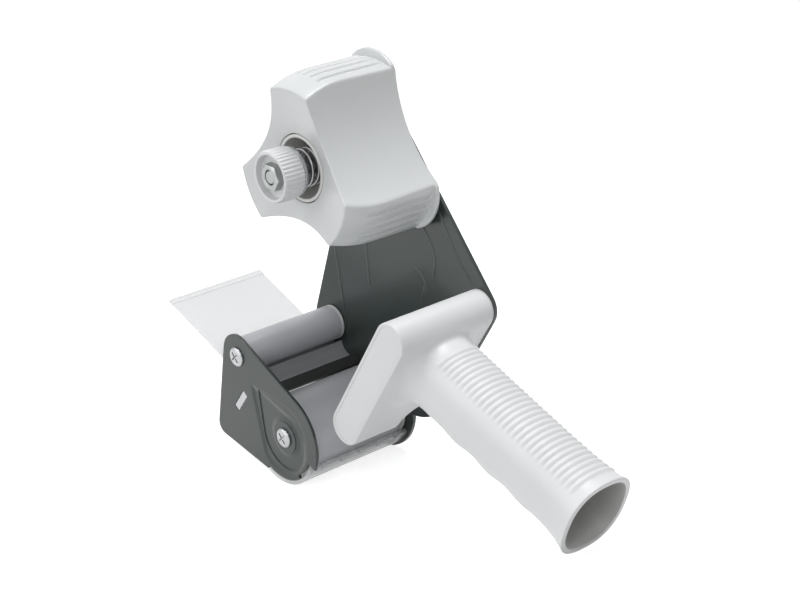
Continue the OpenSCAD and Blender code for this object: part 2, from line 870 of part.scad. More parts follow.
hub_y1 = main_y - hub_gap;
hub_y0 = hub_y1 - hub_len;
dish_y = hub_y0 + dish_depth;
web_y = dish_y + socket_depth;
web_t = 2.5;
sleeve_r = 6;
flange_r = 11;
washer_t = 1;
felt_t = 0.6;
bush_wall = 2;
boss_wall = 2.5;
cup_y1 = web_y - face_gap - felt_t;
cup_r = socket_r - cup_gap;
cup_bottom = 1.5;
knob_clear = 5.2;
knob_y1 = dish_y - knob_clear;
knob_y0 = knob_y1 - knob_len;
hex_r = hex_flats / 2 / cos(30);
nut_h = 6;
knob_floor = 3.2;
knob_wall = 1.5;
knob_pocket = 2.4;
knurl_size = 0.8;
knurl_margin = 0.9;
thrust_y0 = knob_y1 + face_gap / 2;
spring_y0 = thrust_y0 + thrust_t + face_gap / 2;
spring_y1 = cup_y1 - cup_bottom - face_gap / 2;
washer_edge = 1.2;
bolt_head_h = 4;

module hex_rod(r, y0, y1) {
    translate([0, y1, 0])
        rotate([90, 0, 0])
            cylinder(r = r, h = y1 - y0, $fn = 6);
}

module spindle_bolt() {
    color(zinc)
    at(hub_x, hub_z) {
        rod(bolt_r, knob_y0, back_y + main_t);
        hex_rod(hex_r, back_y + main_t, back_y + main_t + bolt_head_h);
    }
}

module spindle_washer() {
    color(zinc) at(hub_x, hub_z) tube(hex_r + washer_edge, bolt_r + hole_gap, back_y, back_y + main_t);
}

module spindle_sleeve() {
    color(zinc)
    at(hub_x, hub_z)
        difference() {
            union() {
                rod(sleeve_r, cup_y1, main_y);
                rod(flange_r, hub_y1 + face_gap + washer_t, main_y);
            }
            rod(bolt_r + run_gap, cup_y1 - over, main_y + over);
        }
}

module back_washer() {
    color(black)
    at(hub_x, hub_z) tube(flange_r, sleeve_r + hole_gap, hub_y1 + face_gap, hub_y1 + face_gap + washer_t);
}

module brake_cup() {
    color(white_plastic)
    at(hub_x, hub_z)
        difference() {
            rod(cup_r, dish_y, cup_y1);
            rod(cup_r - cup_wall, dish_y - over, cup_y1 - cup_bottom);
            rod(bolt_r + hole_gap, dish_y, cup_y1 + over);
        }
}

module friction_washer() {
    color(black)
    at(hub_x, hub_z) tube(cup_r, sleeve_r + hole_gap, cup_y1, cup_y1 + felt_t);
}

module thrust_washer() {
    color(zinc)
    at(hub_x, hub_z) tube(knob_r - air, bolt_r + hole_gap, thrust_y0, thrust_y0 + thrust_t);
}

// Centre line of the spring and its wire
spring_lead = (spring_y1 - spring_y0 - spring_wire) / spring_turns;
rings_a_turn = 8;
wire_sides = 6;
spring_rings = spring_turns * rings_a_turn;
function spring_center(k) =
    let (a = 360 * k / rings_a_turn)
    [hub_x + spring_r * cos(a), spring_y0 + spring_wire / 2 + spring_lead * k / rings_a_turn,
        hub_z + spring_r * sin(a)];
function spring_ring(k) =
    let (a = 360 * k / rings_a_turn,
        c = spring_center(k),
        rise = atan2(spring_lead, 2 * PI * spring_r),
        u = [cos(a), 0, sin(a)],
        v = [sin(a) * sin(rise), cos(rise), -cos(a) * sin(rise)])
    [for (i = [0:wire_sides - 1])
        let (b = 360 * i / wire_sides)
        c + spring_wire / 2 * (cos(b) * u + sin(b) * v)];

module tension_spring() {
    color(zinc) loft([for (k = [0:spring_rings]) spring_ring(k)]);
}

// Least gap between neighbouring curls, measured on the wire's points
last_pair = spring_rings - rings_a_turn;
curl_gap = min([for (k = [0:last_pair], p = spring_ring(k), q = spring_ring(k + rings_a_turn))
    norm(p - q)]);
echo(least_gap_of_spring = curl_gap);

module tension_knob() {
    color(white_plastic)
    at(hub_x, hub_z)
        difference() {
            rod(knob_r, knob_y0, knob_y1);
            rod(knob_r - knob_wall, knob_y0 - over, knob_y0 + knob_floor);
            rod(bolt_r + hole_gap, knob_y0, knob_y1 + over);
            hex_rod(hex_r, knob_y0, knob_y0 + knob_floor + knob_pocket);
            for (i = [0:knurl_count - 1])
                rotate([0, i * 360 / knurl_count, 0])
                    translate([knob_r, (knob_y0 + knob_y1) / 2, 0])
                        rotate([0, 45, 0])
                            cube([knurl_size, knob_len - 2 * knurl_margin, knurl_size], center = true);
        }
}

module tension_nut() {
    y1 = knob_y0 + knob_floor + knob_pocket;
    color(zinc)
    at(hub_x, hub_z)
        difference() {
            hex_rod(hex_r, y1 - nut_h, y1);
            rod(bolt_r + run_gap, y1 - nut_h - over, y1 + over);
        }
}

// Hub

lobe_count = 3;
nose_steps = 6;
groove_step = 7.4;
// Small step between the lips and the lobes' end
lip_step = 0.3;
// Radius of the lobes over the lead-in, at a share of its length
function nose_at(share) = hub_r - (hub_r - nose_r) * pow(1 - share, 2);
// Slope of the hollows between the lobes
waist_lean = atan((waist_far - waist_near) / hub_len);

module waist_cuts(more) {
    for (i = [0:lobe_count - 1])
        rotate([0, -(lobe_turn + 60 + i * 120), 0])
            translate([waist_far + waist_arc_r, hub_y1, 0])
                rotate([90, 0, 0])
                    rotate([0, -waist_lean, 0])
                        translate([0, 0, -hub_len])
                            cylinder(r = waist_arc_r + more, h = 3 * hub_len, $fn = 180);
}

// The round lips at the far end of the lobes
module lips() {
    for (i = [0:lobe_count - 1])
        rotate([0, -(lobe_turn + i * 360 / lobe_count), 0])
            at(lip_r - lip_round, 0) rod(lip_round, hub_y1 - lip_w, hub_y1 - lip_step);
}

// A solid turned about the hub's axis, from points of radius and level
module turned(points) {
    rotate([-90, 0, 0]) rotate_extrude($fn = 120) polygon([for (p = points) [p[0], p[1]]]);
}

module hub() {
    boss_r = sleeve_r + run_gap + bush_wall;
    outer = concat(
        [[0, dish_y]],
        [[socket_r, dish_y]],
        [for (i = [0:nose_steps]) [nose_at(i / nose_steps), hub_y0 + nose_len * i / nose_steps]],
        [[hub_r, hub_y1], [0, hub_y1]]);
    inner = concat(
        [[0, dish_y + hub_wall], [socket_r, dish_y + hub_wall]],
        [for (i = [0:nose_steps])
            [nose_at(i / nose_steps) - hub_wall, hub_y0 + hub_wall + nose_len * i / nose_steps]],
        [[hub_r - hub_wall, hub_y1 + over], [0, hub_y1 + over]]);
    color(hub_grey)
    at(hub_x, hub_z)
        difference() {
            union() {
                difference() {
                    union() {
                        turned(outer);
                        lips();
                    }
                    waist_cuts(0);
                    difference() {
                        turned(inner);
                        waist_cuts(hub_wall);
                    }
                }
                rod(socket_r + hub_wall, dish_y + hub_wall / 2, web_y + web_t);
                rod(boss_r + boss_wall, web_y, hub_y1);
            }
            rod(socket_r, dish_y - dish_depth - over, web_y);
            rod(boss_r, web_y - over, hub_y1 + over);
            for (i = [0:lobe_count - 1], k = [0:groove_count - 1])
                rotate([0, -(lobe_turn + i * 120 + (k - (groove_count - 1) / 2) * groove_step), 0])
                    translate([hub_r, hub_y1 - (hub_len - nose_len + lip_w) / 2, 0])
                        cube([2 * groove_d, hub_len - nose_len - 2 * lip_w, groove_w], center = true);
        }
}

module hub_bush() {
    bore = sleeve_r + run_gap;
    color(white_plastic) at(hub_x, hub_z) tube(bore + bush_wall, bore, web_y + face_gap / 2, hub_y1);
}

// Standing place: the gun rests on its guard and on the lower lip of its grip

mouth_low = mouth_at(-mouth_up);
mouth_high = mouth_at(mouth_up);
reach = norm([mouth_low[0] - guard_x, mouth_low[1] - guard_z]);
stand_turn = atan2(mouth_low[1] - guard_z, mouth_low[0] - guard_x) + asin((guard_r + guard_t) / reach);
// The side view's coordinates after the turn
function stood(p) = [p[0] * cos(stand_turn) + p[1] * sin(stand_turn),
    -p[0] * sin(stand_turn) + p[1] * cos(stand_turn)];
flap_tip = flap_at(flap_end);
lip_corner = flap_tip - flap_lip_t / 2 * polar(1, 90 - flap_slope);
stand_x = (stood(lip_corner)[0] + stood(mouth_high)[0]) / 2;
stand_z = stood(mouth_low)[1];
stand_y = (min(knob_y0, -head_h) + back_y + main_t + bolt_head_h) / 2;

module stand() {
    translate([-stand_x, -stand_y, -stand_z])
        rotate([0, stand_turn, 0])
            children();
}

stand() main_plate();
stand() side_plate();
stand() handle();
stand() end_panel();
stand() handle_screws();
stand() guide_plate();
stand() flap_clamp();
stand() flap_rivets();
stand() flap();
stand() blade_holder();
stand() blade();
stand() blade_screws();
stand() brake_bar();
stand() bar_screw();
stand() guide_axle();
stand() roller_axle();
stand() axle_screws();
stand() roller_guard();
stand() spindle_bolt();
stand() spindle_washer();
stand() spindle_sleeve();
stand() back_washer();
stand() brake_cup();
stand() friction_washer();
stand() tension_spring();
stand() thrust_washer();
stand() tension_knob();
stand() tension_nut();
stand() hub();
stand() hub_bush();
stand() guide_roller();
stand() guide_roller_caps();
stand() application_roller();
stand() application_roller_caps();
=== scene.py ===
"""Looks of a pistol-grip dispenser for packing tape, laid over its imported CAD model."""

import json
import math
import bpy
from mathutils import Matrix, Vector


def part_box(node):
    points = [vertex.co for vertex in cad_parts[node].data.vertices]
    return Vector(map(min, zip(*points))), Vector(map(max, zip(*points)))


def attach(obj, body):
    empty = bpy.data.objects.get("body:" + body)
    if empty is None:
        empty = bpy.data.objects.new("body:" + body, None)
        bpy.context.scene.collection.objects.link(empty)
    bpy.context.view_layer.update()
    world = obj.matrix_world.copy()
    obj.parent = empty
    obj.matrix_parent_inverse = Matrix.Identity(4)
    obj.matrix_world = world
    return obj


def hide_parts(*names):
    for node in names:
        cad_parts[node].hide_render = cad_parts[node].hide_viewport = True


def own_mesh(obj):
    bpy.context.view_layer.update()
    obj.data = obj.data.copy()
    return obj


bl_info = {
    "name": "Tape Gun",
    "version": (1, 0, 0),
    "blender": (4, 5, 0),
    "location": "3D View > Sidebar > Tape Gun",
    "description": "Finishes, fine shapes and stage for a handheld tape dispenser",
    "category": "Object",
}

import bmesh
import bpy
from mathutils import Matrix, Vector

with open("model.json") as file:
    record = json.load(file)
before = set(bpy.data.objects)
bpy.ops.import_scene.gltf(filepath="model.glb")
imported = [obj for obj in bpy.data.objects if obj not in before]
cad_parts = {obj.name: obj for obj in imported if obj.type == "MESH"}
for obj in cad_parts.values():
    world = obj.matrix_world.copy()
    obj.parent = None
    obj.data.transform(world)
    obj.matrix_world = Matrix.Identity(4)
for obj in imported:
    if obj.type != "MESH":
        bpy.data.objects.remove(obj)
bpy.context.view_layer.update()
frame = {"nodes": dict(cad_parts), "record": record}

MM = 0.001


# Sizes and colours that a user would change


def length(name, description, default):
    """A size property in metres."""
    return bpy.props.FloatProperty(
        name=name, description=description, default=default, unit="LENGTH", min=0.0, precision=4
    )


def number(name, description, default):
    """A whole number of copies or steps."""
    return bpy.props.IntProperty(name=name, description=description, default=default, min=1)


def colour(name, description, default):
    """A colour property, in linear values."""
    return bpy.props.FloatVectorProperty(
        name=name, description=description, default=default, subtype="COLOR", min=0.0, max=1.0
    )


class TapeGunSizes(bpy.types.PropertyGroup):
    """Fine sizes that the looks add to the CAD model"""

    edge: length("Edge round", "Radius that softens the moulded and bent edges", 0.4 * MM)
    metal_edge: length("Metal edge", "Radius that softens the cut metal edges", 0.15 * MM)
    plate_edge: length("Plate edge", "Round along the outline of the plates", 0.3 * MM)
    relief: length("Relief depth", "Depth of the drop pressed into the side plate", 0.45 * MM)
    crease: length("Crease height", "Height of the creases pressed into the main plate", 0.35 * MM)
    rib: length("Rib height", "Height of the ribs on the back of the grip", 0.7 * MM)
    ribs: number("Ribs", "Ribs along the back of the grip", 29)
    ridges: number("Knob ridges", "Ridges round the tension knob", 40)
    coils: bpy.props.FloatProperty(
        name="Coils", description="Turns of the tension spring", default=5.5, min=1.0)
    wire: length("Wire radius", "Radius of the spring's wire", 0.8 * MM)
    dome: length("Screw dome", "Height of the dome on a screw's head", 0.7 * MM)


class TapeGunColours(bpy.types.PropertyGroup):
    """Colours of the finishes"""

    plate: colour("Plates", "Gloss paint of the two steel plates", (0.039, 0.051, 0.048))
    grip: colour("Grip", "Moulded plastic of the grip and crossbar", (0.82, 0.83, 0.84))
    hub: colour("Hub", "Moulded plastic of the tape hub", (0.68, 0.7, 0.705))
    knob: colour("Knob", "Moulded plastic of the tension knob", (0.79, 0.8, 0.81))
    roller: colour("Rollers", "Grey covering of both rollers", (0.58, 0.59, 0.62))
    steel: colour("Steel", "Bright zinc of screws and washers", (0.42, 0.43, 0.44))


# Nodes of shaders and forms


def feed(tree, socket, source):
    """Gives an input a value, or a link from another node's output."""
    if isinstance(source, bpy.types.NodeSocket):
        tree.links.new(source, socket)
    else:
        socket.default_value = source


def tune(tree, node, **settings):
    """Sets a node's attributes. A setting that is none of them feeds the input of that name."""
    for key, value in settings.items():
        if hasattr(node, key):
            setattr(node, key, value)
        else:
            feed(tree, node.inputs[key.replace("_", " ")], value)
    return node


def add(tree, kind, at, **settings):
    """Adds a node with its settings."""
    node = tree.nodes.new(kind)
    node.location = at
    return tune(tree, node, **settings)


def sums(tree, operation, at, first, second, **settings):
    """The result of a sum on two values or outputs."""
    node = add(tree, "ShaderNodeMath", at, operation=operation, **settings)
    feed(tree, node.inputs[0], first)
    feed(tree, node.inputs[1], second)
    return node.outputs[0]


def shared(name, build):
    """A node group, built when it is first asked for."""
    return bpy.data.node_groups.get(name) or build(name)


def new_group(name, kind, inputs, outputs):
    """A node group, with the kind of each input and output. Gives the tree and its inputs."""
    tree = bpy.data.node_groups.new(name, kind + "NodeTree")
    for side, ends in (("INPUT", inputs), ("OUTPUT", outputs)):
        for label, value in ends.items():
            tree.interface.new_socket(name=label, in_out=side, socket_type="NodeSocket" + value)
    return tree, add(tree, "NodeGroupInput", (-900, 0)).outputs


def new_material(name):
    """A material, its tree and its shader."""
    material = bpy.data.materials.new(name)
    material.use_nodes = True
    return material, material.node_tree, material.node_tree.nodes["Principled BSDF"]


# Finishes


# Limits of the edge mask that lightens edges: wear on some finishes, a painted highlight on the rims of
# others
EDGE_WEAR_AND_HIGHLIGHT_STARTS, EDGE_WEAR_AND_HIGHLIGHT_FULL = 0.995, 0.8


def build_drift(name):
    """Colour that drifts a little lighter and darker over the surface."""
    inputs = {"Vector": "Vector", "Color": "Color", "Scale": "Float", "Drift": "Float"}
    tree, start = new_group(name, "Shader", inputs, {"Color": "Color"})
    noise = add(
        tree, "ShaderNodeTexNoise", (-650, 100),
        Vector=start["Vector"], Scale=start["Scale"], Detail=3.0, Roughness=0.6)
    low = sums(tree, "SUBTRACT", (-450, -150), 1.0, start["Drift"])
    high = sums(tree, "ADD", (-450, -300), 1.0, start["Drift"])
    span = add(tree, "ShaderNodeMapRange", (-200, 50), Value=noise.outputs[0], To_Min=low, To_Max=high)
    shade = add(tree, "ShaderNodeHueSaturation", (200, 0), Value=span.outputs[0], Color=start["Color"])
    add(tree, "NodeGroupOutput", (600, 0), Color=shade.outputs[0])
    return tree


def build_grain(name):
    """Fine grain: its height, and a roughness that follows it and broad smudges."""
    inputs = {"Vector": "Vector", "Scale": "Float", "Roughness": "Float", "Spread": "Float"}
    tree, start = new_group(name, "Shader", inputs, {"Roughness": "Float", "Height": "Float"})
    fine = add(
        tree, "ShaderNodeTexNoise", (-650, 150),
        Vector=start["Vector"], Scale=start["Scale"], Detail=2.0, Roughness=0.5)
    broad = add(
        tree, "ShaderNodeTexNoise", (-650, -150),
        Vector=start["Vector"], Scale=90.0, Detail=4.0, Roughness=0.7)
    both = sums(tree, "ADD", (-400, 0), fine.outputs[0], broad.outputs[0])
    about_zero = sums(tree, "SUBTRACT", (-200, 0), both, 1.0)
    share = sums(tree, "MULTIPLY", (0, 0), about_zero, start["Spread"])
    rough = sums(tree, "ADD", (200, 0), share, start["Roughness"], use_clamp=True)
    add(tree, "NodeGroupOutput", (600, 0), Roughness=rough, Height=fine.outputs[0])
    return tree


def build_edges(name):
    """Softened edges: a rounded normal, and a mask that is 1 on sharp edges."""
    tree, start = new_group(name, "Shader", {"Radius": "Float"}, {"Normal": "Vector", "Mask": "Float"})
    bevel = add(tree, "ShaderNodeBevel", (-600, 0), samples=4, Radius=start["Radius"])
    flat = add(tree, "ShaderNodeNewGeometry", (-600, -250))
    dot = add(tree, "ShaderNodeVectorMath", (-350, -100), operation="DOT_PRODUCT")
    feed(tree, dot.inputs[0], bevel.outputs[0])
    feed(tree, dot.inputs[1], flat.outputs["Normal"])
    span = add(
        tree, "ShaderNodeMapRange", (-100, -100),
        Value=dot.outputs["Value"], From_Min=EDGE_WEAR_AND_HIGHLIGHT_STARTS, From_Max=EDGE_WEAR_AND_HIGHLIGHT_FULL)
    add(tree, "NodeGroupOutput", (600, 0), Normal=bevel.outputs[0], Mask=span.outputs[0])
    return tree


def finish(
    name, base, rough, metallic=0.0, edge=0.0003, wear_and_highlight=0.0, wear_and_highlight_colour=(0.5, 0.5, 0.5), drift=0.05,
    drift_scale=40.0, grain=1500.0, spread=0.05, bump=0.05, depth=0.00005, stretch=(1, 1, 1), extra=None,
):
    """A procedural finish: drifting colour, lighter edges that stand for wear on some finishes and for a
    painted highlight on the rims of others, grain in roughness and bump.
    """
    if name in bpy.data.materials:
        return bpy.data.materials[name]
    material, tree, shader = new_material(name)
    place = add(tree, "ShaderNodeTexCoord", (-1400, 0)).outputs["Object"]
    stretched = add(tree, "ShaderNodeMapping", (-1200, 0), Vector=place, Scale=stretch).outputs[0]
    tint = add(
        tree, "ShaderNodeGroup", (-900, 250), node_tree=shared("Colour drift", build_drift),
        Vector=place, Color=(*base, 1), Scale=drift_scale, Drift=drift).outputs
    grained = add(
        tree, "ShaderNodeGroup", (-900, -50), node_tree=shared("Fine grain", build_grain),
        Vector=stretched, Scale=grain, Roughness=rough, Spread=spread).outputs
    edges = add(
        tree, "ShaderNodeGroup", (-900, -350), node_tree=shared("Soft edges", build_edges),
        Radius=edge).outputs
    # Sharp edges take the edge colour: wear on some finishes, a painted highlight on the hub's and grip's
    # rims
    amount = sums(tree, "MULTIPLY", (-620, 50), edges["Mask"], wear_and_highlight)
    edge_wear_and_highlight = add(tree, "ShaderNodeMix", (-400, 250), data_type="RGBA")
    for slot, source in ((0, amount), (6, tint["Color"]), (7, (*wear_and_highlight_colour, 1))):
        feed(tree, edge_wear_and_highlight.inputs[slot], source)
    relief = add(
        tree, "ShaderNodeBump", (-400, -250),
        Strength=bump, Distance=depth, Height=grained["Height"], Normal=edges["Normal"])
    tune(
        tree, shader, Metallic=metallic, Base_Color=edge_wear_and_highlight.outputs[2], Roughness=grained["Roughness"],
        Normal=relief.outputs[0])
    if extra:
        extra(tree, shader)
    return material


def coat(weight, rough, specular=0.5):
    """Adds a clear coat to a finish."""

    def apply(tree, shader):
        tune(tree, shader, Specular_IOR_Level=specular, Coat_Weight=weight, Coat_Roughness=rough)

    return apply


def see_through(low, high):
    """Lets light through a finish, less so at a glancing angle."""

    def apply(tree, shader):
        facing = add(tree, "ShaderNodeLayerWeight", (-400, -600), Blend=0.35).outputs["Facing"]
        cover = add(tree, "ShaderNodeMapRange", (-200, -600), Value=facing, To_Min=low, To_Max=high)
        tune(tree, shader, Alpha=cover.outputs[0])

    return apply


def plastics(paint, soft):
    """Finishes of the moulded pieces."""
    return {
        # The grip's lighter edges are a painted highlight along its rims and ribs
        "grip": finish(
            "Grip plastic", paint.grip, 0.36, edge=soft * 1.5, wear_and_highlight=0.7, wear_and_highlight_colour=(0.95, 0.955, 0.96),
            drift=0.03, grain=2600, spread=0.06, bump=0.12, depth=0.00004),
        # Painted shade: the inside of the grip's hollow is coloured darker for the shade that falls in it
        "hollow": finish(
            "Grip hollow painted shade", (0.57, 0.575, 0.56), 0.4, edge=soft / 2, grain=2000, spread=0.06, bump=0.12,
            depth=0.00004),
        "panel": finish(
            "Panel plastic", paint.grip, 0.33, edge=soft / 2, drift=0.03, grain=2200, bump=0.08,
            depth=0.00004),
        # The hub's near-white edges are a painted highlight along its rims
        "hub": finish(
            "Hub plastic", paint.hub, 0.34, edge=soft * 2.2, wear_and_highlight=1.0, wear_and_highlight_colour=(0.97, 0.975, 0.98),
            drift=0.03, grain=2400, spread=0.06, bump=0.1, depth=0.00004, extra=coat(0.4, 0.12)),
        "knob": finish("Knob plastic", paint.knob, 0.35, edge=soft / 2, drift=0.04, grain=2600, bump=0.1),
        "white": finish(
            "White plastic", (0.8, 0.8, 0.78), 0.35, edge=soft / 2, drift=0.03, grain=2400, bump=0.08),
    }


def metals(paint, hard):
    """Finishes of paint and bare metal."""
    return {
        "plate": finish(
            "Plate paint", paint.plate, 0.3, edge=hard * 2, wear_and_highlight=0.35, wear_and_highlight_colour=(0.2, 0.22, 0.22),
            drift=0.08, grain=900, spread=0.06, bump=0.12, depth=0.00008, extra=coat(0.2, 0.12, 0.35)),
        "guide": finish(
            "Guide paint", (0.4, 0.41, 0.43), 0.34, edge=hard * 2, wear_and_highlight=0.6, wear_and_highlight_colour=(0.62, 0.63, 0.64),
            drift=0.06, grain=1000, spread=0.08, bump=0.12, extra=coat(0.3, 0.15)),
        "zinc": finish(
            "Bright zinc", paint.steel, 0.28, 1.0, edge=hard, drift=0.08, drift_scale=160, grain=1100,
            spread=0.12, bump=0.12, stretch=(1, 0.2, 1)),
        "nickel": finish(
            "Dull nickel", (0.36, 0.38, 0.37), 0.32, 1.0, edge=hard * 1.5, wear_and_highlight=0.4,
            wear_and_highlight_colour=(0.7, 0.71, 0.7), drift=0.1, drift_scale=200, grain=1300, spread=0.12, bump=0.12),
        "blade": finish(
            "Ground steel", (0.58, 0.59, 0.6), 0.24, 1.0, edge=hard / 2, drift=0.06, grain=900,
            spread=0.12, bump=0.25, stretch=(0.1, 4, 0.1)),
        "spring": finish(
            "Spring wire", (0.35, 0.35, 0.36), 0.3, 1.0, edge=hard, drift=0.1, drift_scale=300,
            spread=0.1, bump=0.1),
    }


def others(paint, hard):
    """Finishes of covering, rubber, felt and clear film."""
    return {
        "roller": finish(
            "Roller covering", paint.roller, 0.34, edge=hard, grain=1600, spread=0.08, bump=0.15,
            stretch=(1, 0.15, 1)),
        "rubber": finish(
            "Black rubber", (0.02, 0.021, 0.021), 0.6, edge=hard, drift=0.15, grain=1800, spread=0.1,
            bump=0.3),
        "black": finish(
            "Black plastic", (0.03, 0.03, 0.03), 0.5, edge=hard, drift=0.15, grain=2000, bump=0.15),
        "felt": finish(
            "Felt", (0.03, 0.03, 0.03), 0.95, edge=hard, drift=0.3, drift_scale=900, grain=3500, bump=0.8,
            depth=0.0002),
        "film": finish(
            "Clear film", (0.84, 0.85, 0.86), 0.14, edge=hard, drift=0.02, grain=300, spread=0.06,
            bump=0.06, depth=0.0002, extra=see_through(0.5, 0.95)),
        "guard": finish(
            "Clear guard", (0.85, 0.87, 0.88), 0.1, edge=hard, drift=0.02, grain=300, bump=0.08,
            depth=0.0002, extra=see_through(0.22, 0.85)),
    }


def make_finishes():
    """Every finish of the gun."""
    paint = bpy.context.scene.tape_gun_colours
    sizes = bpy.context.scene.tape_gun_sizes
    hard = sizes.metal_edge
    return {**plastics(paint, sizes.edge), **metals(paint, hard), **others(paint, hard)}


NODES_OF_FINISH = {
    "plate": ("main_plate", "side_plate"),
    "grip": ("handle",),
    "panel": ("end_panel", "guide_roller_caps"),
    "hub": ("hub",),
    "knob": ("tension_knob",),
    "white": ("brake_cup", "hub_bush", "application_roller_caps"),
    "zinc": (
        "handle_screws", "flap_clamp", "flap_rivets", "blade_holder", "blade_screws", "bar_screw",
        "guide_axle", "roller_axle", "axle_screws", "spindle_washer", "spindle_sleeve", "thrust_washer"),
    "nickel": ("spindle_bolt", "tension_nut"),
    "blade": ("blade",),
    "spring": ("tension_spring",),
    "guide": ("guide_plate",),
    "roller": ("guide_roller", "application_roller"),
    "rubber": ("brake_bar",),
    "black": ("back_washer",),
    "felt": ("friction_washer",),
    "film": ("flap",),
    "guard": ("roller_guard",),
}
FINISH_OF_NODE = {node: key for key, nodes in NODES_OF_FINISH.items() for node in nodes}
FINISHES = {}


def dress(node, material):
    """Gives a CAD node its finish."""
    mesh = frame["nodes"][node].data
    if mesh.materials:
        mesh.materials[0] = material
    else:
        mesh.materials.append(material)


class TAPEGUN_OT_finishes(bpy.types.Operator):
    """Makes the procedural finishes and gives every CAD node its own"""

    bl_idname = "tape_gun.finishes"
    bl_label = "Finishes"

    def execute(self, context):
        FINISHES.update(make_finishes())
        for node, key in FINISH_OF_NODE.items():
            dress(node, FINISHES[key])
        return {"FINISHED"}


# Places

# Shapes are drawn in millimetres in the gun's side view: X towards the grip, Y across from the
# side plate's outer face, Z up, and the big roller's axis as zero. STAND takes them to the frame
# of the CAD model. A place in the side view is a vector of X and Z.

HUB_AT = Vector((1.3, 117.8))
GUIDE_AT = Vector((-31.4, 26.0))
ROLLER_AT = Vector((0, 0))
SIDE_T = 1.2
MAIN_Y = 53.0
BACK_Y = 54.6
ALONG_Y = Matrix.Rotation(math.radians(-90), 4, "X")


def middle(node):
    """Middle of a CAD node's box."""
    low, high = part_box(node)
    return (low + high) / 2


ROLLER = middle("application_roller")
SPINDLE = middle("tension_knob") - ROLLER
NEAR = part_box("side_plate")[0].y
TURN = math.atan2(HUB_AT.y, HUB_AT.x) - math.atan2(SPINDLE.z, SPINDLE.x)
TIP = Matrix.Rotation(TURN, 4, "Y")
STAND = Matrix.Translation((ROLLER.x, NEAR, ROLLER.z)) @ TIP @ Matrix.Scale(MM, 4)

BODY_OF = {node: body for body, nodes in frame["record"]["behaviour"]["bodies"].items() for node in nodes}


def clamp(value, low=0.0, high=1.0):
    """A value kept within two limits."""
    return max(low, min(high, value))


def smooth(value):
    """Runs softly from 0 to 1."""
    share = clamp(value)
    return share * share * (3 - 2 * share)


def mix(a, b, share):
    """A value between two others."""
    return a + (b - a) * share


def polar(radius, degrees):
    """A place at a distance and an angle, in the side view."""
    return Vector((radius * math.cos(math.radians(degrees)), radius * math.sin(math.radians(degrees))))


def aside(place, y):
    """A place of the side view, at a level across the gun."""
    return Vector((place.x, y, place.y))


def bend(start, corner, stop, share):
    """A place on the curve that rounds a corner."""
    return start * (1 - share) ** 2 + corner * 2 * share * (1 - share) + stop * share * share


def eased(points, radius, steps=3, closed=True):
    """An outline with rounded corners. radius is one number, or one for each corner."""
    out = []
    count = len(points)
    for i, corner in enumerate(points):
        size = radius[i] if isinstance(radius, (list, tuple)) else radius
        if size == 0 or (not closed and i in (0, count - 1)):
            out.append(tuple(corner))
            continue
        corner = Vector(corner)
        before = Vector(points[i - 1]) - corner
        after = Vector(points[(i + 1) % count]) - corner
        reach = min(size, before.length * 0.45, after.length * 0.45)
        start = corner + before.normalized() * reach
        stop = corner + after.normalized() * reach
        out += [tuple(bend(start, corner, stop, k / steps)) for k in range(steps + 1)]
    return out


# Meshes


FLAT, SHARP = math.radians(0.6), math.radians(40)


def weave(bm, rings, closed=False, capped=False):
    """Faces between rings of equally many vertices. A pole is one vertex, repeated."""
    count = len(rings[0])
    followers = rings[1:] + rings[:1] if closed else rings[1:]
    for ring, follower in zip(rings, followers):
        for i in range(count):
            j = (i + 1) % count
            corners = []
            for vert in (ring[i], ring[j], follower[j], follower[i]):
                if vert not in corners:
                    corners.append(vert)
            if len(corners) > 2:
                bm.faces.new(corners)
    if capped:
        bm.faces.new(rings[0])
        bm.faces.new(rings[-1])


def ring_of(bm, points):
    """Vertices at a ring of points."""
    return [bm.verts.new(point) for point in points]


def woven(rings, **ends):
    """A new shape from rings of points."""
    bm = bmesh.new()
    weave(bm, [ring_of(bm, ring) for ring in rings], **ends)
    return bm


def lathe(bm, centre, profile, sides, closed=True):
    """Adds a solid turned about a line along Y, from points of radius and level."""
    rings = []
    for radius, level in profile:
        if radius == 0:
            rings.append([bm.verts.new(aside(centre, level))] * sides)
            continue
        turns = [360 * i / sides for i in range(sides)]
        rings.append(ring_of(bm, [aside(centre + polar(radius, turn), level) for turn in turns]))
    weave(bm, rings, closed)
    return bm


def plain_mesh(bm, name):
    """A mesh from a shape, with its faces turned outwards."""
    bmesh.ops.recalc_face_normals(bm, faces=bm.faces)
    mesh = bpy.data.meshes.new(name)
    bm.to_mesh(mesh)
    bm.free()
    return mesh


def put(name, data):
    """A new object in the scene."""
    item = bpy.data.objects.new(name, data)
    bpy.context.scene.collection.objects.link(item)
    return item


def settle(name, bm, *nodes, sharp=35.0):
    """Makes a shape the piece that stands for CAD nodes, with their finish and body."""
    bmesh.ops.remove_doubles(bm, verts=bm.verts, dist=0.002)
    bmesh.ops.dissolve_degenerate(bm, dist=0.001, edges=bm.edges)
    mesh = plain_mesh(bm, name)
    mesh.transform(STAND)
    mesh.materials.append(FINISHES[FINISH_OF_NODE[nodes[0]]])
    mesh.polygons.foreach_set("use_smooth", [True] * len(mesh.polygons))
    mesh.polygons.foreach_set("material_index", [0] * len(mesh.polygons))
    mesh.set_sharp_from_angle(angle=math.radians(sharp))
    item = put(name, mesh)
    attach(item, BODY_OF[nodes[0]])
    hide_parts(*nodes)
    return item


def baked(item):
    """The mesh of an object with its modifiers applied. The object is removed."""
    graph = bpy.context.evaluated_depsgraph_get()
    mesh = bpy.data.meshes.new_from_object(item.evaluated_get(graph), depsgraph=graph)
    bpy.data.objects.remove(item)
    return mesh


def carve(mesh, tool, operation):
    """Joins or cuts a mesh with another."""
    item, other = put("body", mesh), put("tool", tool)
    modifier = item.modifiers.new("Cut", "BOOLEAN")
    modifier.operation = operation
    modifier.object = other
    modifier.solver = "EXACT"
    result = baked(item)
    bpy.data.objects.remove(other)
    return result


